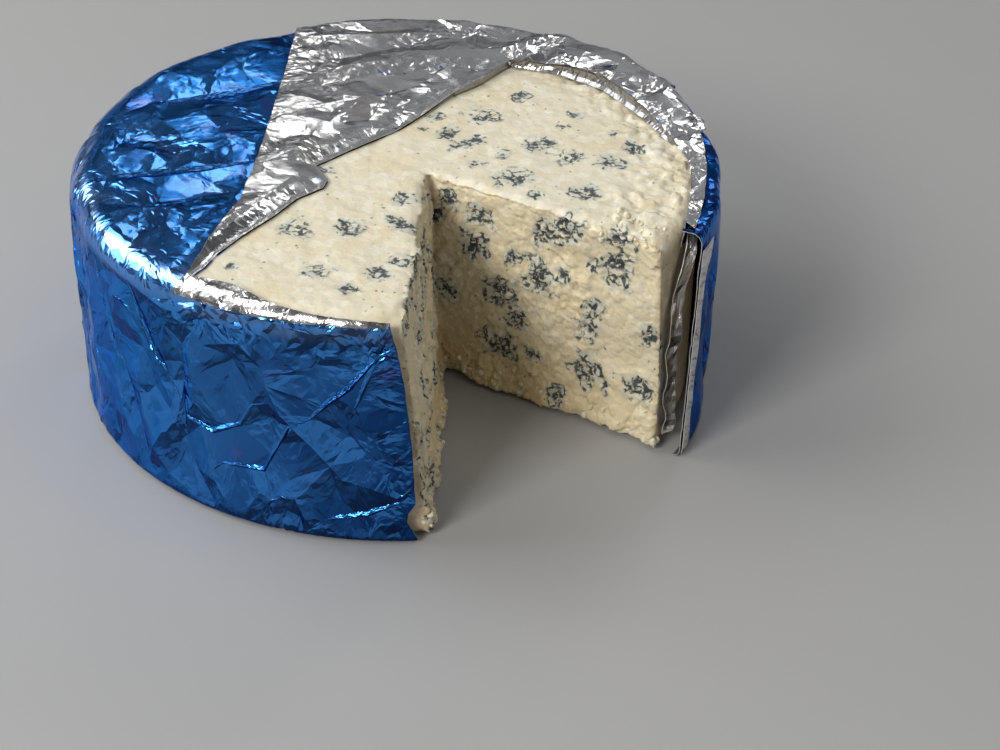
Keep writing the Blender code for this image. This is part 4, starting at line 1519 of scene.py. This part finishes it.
    def place_busy(self, flat: Array) -> Array:
        """How busily the main sheet is creased at places of the layout."""
        point, _ = self.on_sheet(flat)
        patch = ease((Grain(self.seed + 2).smooth(point, 22.0) - 0.10) / 0.35)
        upright = ease((self.top - 3 - point[:, 2]) / 6)
        angle, reach = polar(flat)
        turn = self.shoulder(angle)
        shoulder = ease(1 - np.abs(reach - self.wall_radius(angle)) / (turn + 9.0))
        foot = ease(1 - (self.full_reach(angle) - reach) / 9.0)
        turn = np.degrees(angle)
        crushed = ease((point[:, 2] - 60) / 8) * (point[:, 2] < 76) * ease((turn + 130) / 8) * (turn < -86)
        streaked = ease(1 - np.abs(turn + 158) / 14) * (reach > self.radius)
        beside = ease((turn + 94) / 6) * (turn < -80)
        calm = blend(0.10, 0.32, upright) - 0.02 * shoulder
        return calm + blend(0.6, 1.1, upright) * patch + 0.25 * foot + 1.7 * crushed + 0.6 * streaked + 0.4 * beside

    def place_depth(self, flat: Array) -> Array:
        """How far the main sheet's large facets stand out or in."""
        angle, reach = polar(flat)
        steady = ease((self.full_reach(angle) - reach - 3.0) / 10.0)
        return blend(self.wall_depth, self.cover_depth, 1 - ease((reach - 84) / 14)) * steady

    def at_back(self, flat: Array) -> Array:
        """Places of the wall behind the wheel, which keep larger facets."""
        angle, reach = polar(flat)
        turn = np.degrees(angle)
        return (turn > self.behind[0]) & (turn < self.behind[1]) & (reach > self.radius + 8)

    def build_sheet(self, origin: Array) -> bpy.types.Object:
        """The sheet itself: wall, shoulder and cover, blue outside and silver inside."""
        foot_turn = np.radians(spaced(self.LEFT_EDGE[0][1], self.RIGHT_EDGE[0][1] - 360, 4.0))
        foot = self.laid_out(foot_turn, self.full_reach(foot_turn))
        right, across, front = self.tear_line()
        outline = np.vstack([
            foot[:-1], self._end(self.RIGHT_EDGE, True)[:-1], right, across[1:], front,
            self._end(self.LEFT_EDGE, False)[1:-1],
        ])
        flat, height, faces, point, normal = self._creased(
            outline, self.sheet_step, (self.seed, self.seed), self.place_depth, self.place_busy, (0.42, 0.21, 0.11),
            pleats=self.pleats(), plain=self.at_back,
        )
        angle, reach = polar(flat)
        steady = ease((self.full_reach(angle) - reach) / 6.0)
        under = np.zeros(len(flat))
        for covered in (self.fold_outline(), self.lip_outline()):
            under = np.maximum(under, is_inside(flat, covered) * ease(clearance(flat, covered) / 1.2))
        at_tear = ease(1 - clearance(flat, np.vstack([right, across]), False) / 3.0)
        under = np.maximum(under, at_tear)
        near_end = ease(1 - clearance(flat, outline) / 5.0)
        move = np.clip(height, -0.95, 1.1) * steady * (1 - 0.9 * under) * (1 - 0.6 * near_end)
        top = point + normal * (move - 0.15 - 0.25 * under)[:, None]
        top[:, 2] -= self.hug(flat)
        turn = np.degrees(angle)
        drawn_back = at_tear * (turn > -27) * (turn < 70)
        top[:, :2] *= (1 + 2.2 * drawn_back / rows(top[:, :2])[:, 0])[:, None]
        shell = self._shell("foil_sheet", top, normal, faces, 0, 1)
        return self._dress("foil_sheet", shell, origin)

    def on_wall(self, turn: float, z: float) -> tuple[float, float]:
        """A place of the layout for an angle in degrees and a height on the wall."""
        angle = np.radians(np.array([turn], float))
        place = self.laid_out(angle, self.reach_at(angle, np.array([z], float)))[0]
        return float(place[0]), float(place[1])

    def wall_fold(self, places: Places, height: float, width: float = 0.0) -> Pleat:
        """A crease of the wall, from angles in degrees and heights."""
        return Pleat(tuple(self.on_wall(turn, z) for turn, z in places), height, width)

    def pleats(self) -> tuple[Pleat, ...]:
        """The long creases of the cover and of the wall."""
        cover = (
            (((-94, -25), (-79, -20), (-62, -15.5), (-43, -9.5)), 1.0, 2.2),
            (((-79, -42), (-66, -41), (-58, -45), (-52.5, -54)), 0.9),
            (((-75, 30), (-56, 36.5), (-41, 46)), 0.9, 2.6),
            (((-90, 10), (-74, 14), (-66, 4), (-56.5, -4.5), (-51, -11)), 1.0),
            (((-79, 8), (-71, -2), (-62, -10)), -0.7),
            (((-68, 29), (-62, 20), (-55, 8.5)), 0.8),
            (((-93, -18), (-91.5, -4), (-85, -18)), 0.9),
            (((-83, 38), (-68, 46), (-55.5, 63), (-42, 72)), 0.7),
            (((-58.5, -17), (-50.5, -29), (-46.5, -36)), -0.6),
        )
        wall = (
            (((-150, 71), (-141, 70), (-131, 68), (-122, 63)), 0.8),
            (((-142, 67), (-146, 55), (-142, 40), (-137, 20), (-135, 6)), -0.8),
            (((-137, 67), (-132, 51), (-125.5, 37)), 0.8, 2.4),
            (((-124.5, 57), (-125.3, 37), (-125, 18), (-120, 5)), -0.9),
            (((-123, 57), (-113, 64), (-109, 58), (-108, 46), (-104, 39), (-96, 23), (-87, 17)), 0.9),
            (((-124.5, 32), (-119, 30.5), (-113.5, 36), (-111, 44)), 0.7, 2.2),
            (((-117.5, 20), (-109.5, 22), (-106.4, 33), (-104.8, 39)), 0.6, 2.0),
            (((-101, 43), (-94.4, 55), (-89.5, 66)), 0.8, 2.4),
            (((-93.7, 48), (-91, 60)), 0.6, 2.0),
            (((-115.4, 6), (-110.3, 7), (-105, 20)), 0.7),
            (((-154, 46), (-150, 22), (-139, 13)), 0.7),
            (((-164, 68), (-159, 40), (-162, 12)), -0.8),
            (((-98.5, 8), (-92, 11), (-86.5, 15)), 0.6, 2.0),
        )
        spread = np.random.default_rng(self.seed + 3)
        around = tuple(
            self.wall_fold(
                tuple((turn + spread.uniform(-4, 4), z + spread.uniform(-4, 4)) for z in (62, 38, 14)),
                float(spread.choice((-0.8, 0.8))),
            )
            for turn in range(-182, -385, -14)
        )
        return (*(Pleat(*row) for row in cover), *(self.wall_fold(*row) for row in wall), *around)

    def flap_edge_x(self, y: Array) -> Array:
        """Where the folded flap's free edge lies."""
        edge = np.array(self.FLAP_EDGE, float)
        return np.interp(y, edge[:, 0], edge[:, 1])

    def band_height(self, flat: Array) -> Array:
        """How far the folded edge stands up behind the notch, rising inwards from the rim."""
        turn = turned(flat)
        inwards = (self.wall_radius(np.radians(turn)) - np.hypot(flat[:, 0], flat[:, 1])) / 7.0
        return self.band_lift * ease(1 - np.abs(turn - self.band_middle) / self.band_spread) * ease(inwards)

    def fold_outline(self) -> Array:
        """The edge of what is folded back: the flap's free edge, the rim, and the tear."""
        right, across, _ = self.tear_line()
        rim_turn = np.radians(spaced(114.0, -27.2, 3.2))
        over = np.interp(np.degrees(rim_turn), *np.array(self.RIM_OVERHANG).T)
        rim = self.laid_out(rim_turn, self.wall_radius(rim_turn) + over)
        edge_y = spaced(-82.0, float(rim[0, 1]), 4.5)[:-1]
        free = np.stack([self.flap_edge_x(edge_y), edge_y], axis=1)
        right = right[np.arctan2(right[:, 1], right[:, 0]) > math.radians(-27.0)]
        return np.vstack([free, rim, right, across[1:]])

    @staticmethod
    def at_right_end(turn: Array) -> Array:
        """1 at the band's right end, fading to 0 past it, by angle in degrees."""
        return ease((10 - turn) / 6) * (turn > -40)

    def build_fold(self, origin: Array) -> bpy.types.Object:
        """The flap and the band: the sheet folded back, silver side up, along the torn edge."""
        right, across, _ = self.tear_line()

        def depth(flat: Array) -> Array:
            """Band facets stand out more than the flap's."""
            turn = turned(flat)
            return blend(0.60, 1.8, ease((70 - turn) / 25) * (turn > -60))

        def busy(flat: Array) -> Array:
            """Finely creased near the tear, streaked further back, plain on the band."""
            noise = Grain(self.seed + 8).smooth(np.column_stack([flat, np.zeros(len(flat))]), 15.0)
            turn = turned(flat)
            band = ease((62 - turn) / 14) * (turn > -60)
            return (0.22 + 0.75 * ease((noise + 0.05) / 0.4)) * (1 - 0.85 * band) + 0.8 * self.at_right_end(turn)

        flat, height, faces, point, normal = self._creased(
            self.fold_outline(), self.fold_step, (self.seed + 5, self.seed + 6), depth, busy, (0.36, 0.17, 0.08),
            pleats=self.flap_pleats(),
        )
        free_y = spaced(-80, 40, 6)
        free_line = np.stack([self.flap_edge_x(free_y), free_y], axis=1)
        tear_near = clearance(flat, np.vstack([right, across]), False)
        front_rise = ease((-30 - flat[:, 1]) / 25) * ease(1 - clearance(flat, free_line, False) / 10.0)
        front_rise = front_rise * ease(tear_near / 5.0)
        lift = self.band_height(flat)
        gap = self.flap_gap + 0.35 + np.clip(height, -0.5 - 0.45 * lift, 2.2)
        angle, reach = polar(flat)
        flush = ease(1 - tear_near / 5.0) * ease(1 - lift / 1.5) * (1 - 0.8 * self.at_right_end(np.degrees(angle)))
        gap = np.maximum(blend(gap, 0.38, flush), 0.1 - 0.6 * lift) + 1.5 * front_rise
        over_rim = reach > self.wall_radius(angle) - 2
        gap = np.where(over_rim, np.clip(gap, 0.15, 0.9), gap)
        top = point + normal * gap[:, None]
        top[:, 2] += lift - self.hug(flat)
        top[:, 2] -= 0.5 * np.clip(top[:, 2] - self.highest, 0, None)
        whole = self._with_collar(top, faces, tear_near, lift)
        shell = self._shell("foil_fold", whole.points, whole.normals(), whole.faces, 1, 0)
        # Painted shade: the upright collar down to the cheese is painted at its darkest.
        shell.painted_light_tones[len(faces):len(whole.faces)] = 0
        return self._dress("foil_fold", shell, origin)

    def _with_collar(self, top: Array, faces: Array, tear_near: Array, lift: Array) -> Surface:
        """Adds the upright strip from the folded crest down to the cheese, along the tear."""
        rim = open_sides(faces)
        turn = turned(top)
        upright = (lift > 0.12) | ((turn < 12) & (turn > -60))
        rim = rim[(tear_near[rim] < 0.6).all(axis=1) & upright[rim].all(axis=1)]
        used = np.unique(rim)
        deep = ease((10 - turn[used]) / 14)
        first, second = np.searchsorted(used, rim).T
        rng = np.random.default_rng(self.seed + 7)
        points = [top]
        new_faces = [faces]
        above = used
        count = len(top)
        low = blend(*self.collar_foot, deep)
        for step in range(1, self.collar_steps + 1):
            share = step / self.collar_steps
            line = top[used].copy()
            line[:, 2] = blend(top[used, 2], np.minimum(low, top[used, 2] - 0.25), share)
            reach = rows(line[:, :2])[:, 0]
            push = 1.1 * math.sin(math.pi * share) * ease(lift[used] / 2.0)
            push = push + rng.uniform(-0.2, 0.2, len(used)) * math.sin(math.pi * share) - 0.1 * share
            push = push + deep * share * (self.collar_reach - reach)
            line[:, :2] *= (1 + push / reach)[:, None]
            points.append(line)
            below = count + np.arange(len(used))
            a, b, c, d = above[first], above[second], below[first], below[second]
            new_faces += [np.column_stack([b, a, c]), np.column_stack([b, c, d])]
            above = below
            count += len(used)
        return Surface(np.vstack(points), np.vstack(new_faces))

    def flap_pleats(self) -> tuple[Pleat, ...]:
        """The long streaks of the flap, and the band's zigzag crease."""
        streaks = (
            (((-20.5, 62.5), (4.6, 68.5), (31, 72)), 0.9),
            (((-36, 46.5), (-18, 56.5), (6, 65), (27, 64)), 1.0),
            (((-34, 40), (-12, 49), (8, 56), (22, 58)), -0.7),
            (((7.5, 61), (15, 56.5), (22, 52)), 0.8),
            (((-4, 52), (2.4, 42), (8, 31)), -0.6),
            (((-20, 46), (-18, 28), (-19, 8)), 0.8),
            (((-30, 25), (-13, 33), (-3, 35.5)), 0.8),
            (((-36, 21), (-22, 15), (-17, 6)), 0.7),
            (((-40, -12.5), (-30, -2.5), (-19, 1.5)), 0.8),
            (((-38, 78), (-10, 81), (20, 85)), 0.9),
            (((-46, -52), (-38, -36), (-30, -20)), 0.6),
        )
        band = Pleat(tuple(self.at(turn, reach) for turn, reach in self.BAND_CREASE), 2.2)
        return (*(Pleat(*row) for row in streaks), band)

    def lip_outline(self) -> Array:
        """The edge of the lip: low on the shoulder outside, the torn edge inside."""
        _, _, front = self.tear_line()
        turn = np.radians(spaced(-88.2, -125.8, 2.0))
        size = self.shoulder(turn)
        rim = self.laid_out(turn, self.wall_radius(turn) - size + 0.8 * size * math.pi / 2)
        return np.vstack([rim, front])

    def build_front_lip(self, origin: Array) -> bpy.types.Object:
        """The narrow silver lip along the front rim."""
        _, height, faces, point, normal = self._creased(
            self.lip_outline(), self.lip_step, (self.seed + 9, self.seed + 10), everywhere(0.62), everywhere(0.6),
            (0.16, 0.07, 0.03),
        )
        top = point + normal * (0.50 + np.clip(height, -0.35, 0.6))[:, None]
        shell = self._shell("foil_front_lip", top, normal, faces, 1, 0)
        middles = shell.points[shell.faces].mean(axis=1)
        shadow = ease(Grain(self.seed + 12).smooth(middles, 5.0) / 0.25)
        shell.painted_light_tones *= 1 - shadow
        return self._dress("foil_front_lip", shell, origin)

    def _hem_strip(self) -> Surface:
        """The free edge beside the right cut, folded back so that its silver side shows."""
        z = spaced(1.5, 72.0, 3.0)
        heights, turns = np.array(self.RIGHT_EDGE, float).T
        edge = np.interp(z, heights, turns) + 0.1
        wide = 2.3 + 0.5 * Grain(self.seed).smooth(np.stack([z, z, z], axis=1), 14.0) + 3.0 * ease((z - 60) / 9)
        sides = [self.laid_out(np.radians(at), self.reach_at(np.radians(at), z)) for at in (edge, edge + wide)]
        outline = np.vstack([sides[0], sides[1][::-1]])
        _, height, faces, point, normal = self._creased(
            outline, self.hem_step, (self.seed + 11, self.seed + 12), everywhere(0.35), everywhere(0.6), (0.25, 0.12),
        )
        top = point + normal * (0.55 + np.clip(height, -0.25, 0.5))[:, None]
        return self._shell("hem strip", top, normal, faces, 1, 0)

    def _inner_layer(self) -> Surface:
        """The loose inner layer between the cheese and the sheet, beside the right cut."""
        z = spaced(4.0, 73.5, 2.3)
        share = spaced(0.0, 1.0, 0.2)
        free = np.interp(z, *np.array(self.INNER_EDGE).T)
        turn = free[:, None] + 2.4 * share[None, :]
        radius = 97.5 + 2.0 * share[None, :] ** 2 + 0 * turn
        level = np.broadcast_to(z[:, None], turn.shape)
        angle = np.radians(turn)
        points = np.stack([radius * np.cos(angle), radius * np.sin(angle), level], axis=-1).reshape(-1, 3)
        shake = Grain(self.seed + 13).fractal(points, 6.0, 3) * 1.0
        out = points * (1, 1, 0)
        points = points + out / rows(out) * np.clip(shake, -0.5, 0.9)[:, None]
        across = len(share)
        corner = (np.arange(len(z) - 1)[:, None] * across + np.arange(across - 1)[None, :]).ravel()
        faces = np.vstack([
            np.column_stack([corner, corner + 1, corner + across + 1]),
            np.column_stack([corner, corner + across + 1, corner + across]),
        ])
        return self._shell("inner layer", points, Surface(points, faces).normals(), faces, 1, 0)

    def build_right_hem(self, origin: Array) -> bpy.types.Object:
        """What shows of the sheet's layers beside the right cut."""
        return self._dress("foil_right_hem", joined([self._hem_strip(), self._inner_layer()]), origin)

    def build(self, origin: Array) -> list[bpy.types.Object]:
        """Makes every piece of the foil.

        Args:
            origin: The wrap's axis on the floor.

        Returns:
            The pieces.
        """
        self.materials = [BLUE_FOIL.material(), SILVER_FOIL.material(), EdgeFinish().material()]
        makers = (self.build_sheet, self.build_fold, self.build_front_lip, self.build_right_hem)
        return [make(origin) for make in makers]


# ---- Studio --------------------------------------------------------------------------------------

@dataclass(frozen=True)
class Softbox:
    """One soft light.

    Attributes:
        name: Its name.
        place: Where it stands, in metres.
        target: What it points at, in metres.
        size: Its width and height, in metres.
        power: Its power, in watts.
        colour: Its colour.
        only_mirrored: Whether only the foil's reflections show it.
    """

    name: str
    place: Point
    target: Point
    size: Place
    power: float
    colour: Colour = (1.0, 1.0, 1.0)
    only_mirrored: bool = False

    def build(self) -> bpy.types.Object:
        """Hangs the light."""
        light = bpy.data.lights.new(self.name, "AREA")
        light.shape = "RECTANGLE"
        light.size, light.size_y = self.size
        light.energy = self.power
        light.color = self.colour
        lamp = bpy.data.objects.new(self.name, light)
        lamp.location = self.place
        aim = Vector(self.target) - Vector(self.place)
        lamp.rotation_euler = aim.to_track_quat("-Z", "Y").to_euler()
        lamp.visible_diffuse = not self.only_mirrored
        bpy.context.scene.collection.objects.link(lamp)
        return lamp


@dataclass
class Studio:
    """Pale floor, soft lights and the camera."""

    camera_place: Point = (34.03, -613.59, 400.17)
    camera_tilt: float = 56.496
    camera_roll: float = 1.33
    camera_lens: float = 79.81
    floor_size: float = 6.0
    floor_colour: Colour = (0.37, 0.366, 0.362)
    dark_air: Colour = (0.045, 0.048, 0.055)
    pale_air: Colour = (0.30, 0.305, 0.315)
    lights: tuple[Softbox, ...] = (
        Softbox("key softbox", (-0.75, 0.55, 1.30), (0, 0, 0.05), (0.8, 0.6), 3.6, (1.0, 0.985, 0.96)),
        Softbox("overhead softbox", (0.65, -0.30, 1.35), (0, 0, 0.0), (0.9, 0.8), 3.0, (1.0, 0.995, 0.985)),
        Softbox("shoulder card", (-0.98, 0.455, 1.03), (0, 0, 0.07), (0.95, 0.95), 12.0, (0.97, 0.985, 1.0), True),
        Softbox("back strip", (-0.20, 1.15, 0.90), (0, 0, 0.07), (0.07, 0.40), 0.4, (1.0, 1.0, 1.0)),
        Softbox("right back strip", (0.50, 1.10, 0.84), (0, 0, 0.07), (0.30, 0.6), 2.2, (0.98, 0.99, 1.0)),
        Softbox("side window", (-1.15, 0.12, 0.78), (0, 0, 0.06), (0.8, 1.2), 10.5, (0.97, 0.985, 1.0)),
        Softbox("front fill", (-0.85, -1.20, 1.00), (0, 0, 0.04), (0.6, 0.5), 18.5, (1.0, 0.99, 0.97)),
    )

    def build_floor(self) -> None:
        """A plain pale floor."""
        half = self.floor_size / 2
        mesh = bpy.data.meshes.new("floor")
        corners = [(-half, -half, 0), (half, -half, 0), (half, half, 0), (-half, half, 0)]
        mesh.from_pydata(corners, [], [(0, 1, 2, 3)])
        mesh.materials.append(new_material("floor", self._floor_finish))
        floor = bpy.data.objects.new("floor", mesh)
        bpy.context.scene.collection.objects.link(floor)

    def _floor_finish(self, board: Board, shader: bpy.types.Node) -> None:
        """Matt and very slightly uneven."""
        drift = board.noise(board.place(), 60, 3)
        colour = board.mixed(drift, self.floor_colour, tuple(c * 0.96 for c in self.floor_colour))
        board.plug(shader, {"Base Color": colour, "Roughness": 0.75})

    def build_world(self) -> None:
        """Dim air in soft patches, so that the foil has both dark and pale to mirror."""
        world = bpy.data.worlds.new("air")
        world.use_nodes = True
        world.node_tree.nodes.clear()
        board = Board(world.node_tree)
        around = board.add("ShaderNodeTexCoord", output="Generated")
        patches = board.add("ShaderNodeTexNoise", None, {"Vector": around, "Scale": 3.2, "Detail": 2.0})
        colour = board.mixed(patches.above(0.52, 0.14), self.dark_air, self.pale_air)
        light = board.add("ShaderNodeBackground", None, {"Color": colour})
        board.node("ShaderNodeOutputWorld", None, {"Surface": light})
        bpy.context.scene.world = world

    def build_camera(self, origin: Array) -> None:
        """The camera, level with the horizon but for a slight roll."""
        data = bpy.data.cameras.new("camera")
        data.lens = self.camera_lens
        data.sensor_width = 36.0
        camera = bpy.data.objects.new("camera", data)
        turn = Matrix.Rotation(math.radians(self.camera_tilt), 4, "X")
        roll = Matrix.Rotation(math.radians(self.camera_roll), 4, "Z")
        place = (np.array(self.camera_place) + origin) * MM
        camera.matrix_world = Matrix.Translation(Vector(place)) @ turn @ roll
        bpy.context.scene.collection.objects.link(camera)
        bpy.context.scene.camera = camera

    def build(self, origin: Array) -> None:
        """Sets the stage.

        Args:
            origin: The wrap's axis on the floor.
        """
        self.build_floor()
        self.build_world()
        self.build_camera(origin)
        for softbox in self.lights:
            softbox.build()
        view = bpy.context.scene.view_settings
        view.view_transform = "Standard"
        view.look = "None"


def wrap_axis(wheel: CheeseWheel) -> Array:
    """Where the wrap's axis stands on the floor of the shared frame, in millimetres."""
    low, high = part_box("cheese")
    x = low.x / MM + wheel.radius - wheel.centre[0]
    y = high.y / MM - wheel.radius - wheel.centre[1]
    return np.array([x, y, 0.0])


def main() -> None:
    """Builds the studio, the cheese and its wrap."""
    logging.basicConfig(level=logging.INFO, format="%(name)s: %(message)s")
    wheel = CheeseWheel()
    origin = wrap_axis(wheel)
    LOG.info("wrap's axis at %.2f, %.2f mm", origin[0], origin[1])
    Studio().build(origin)
    wheel.build(origin)
    FoilWrap().build(origin)


if __name__ == "__main__":
    main()
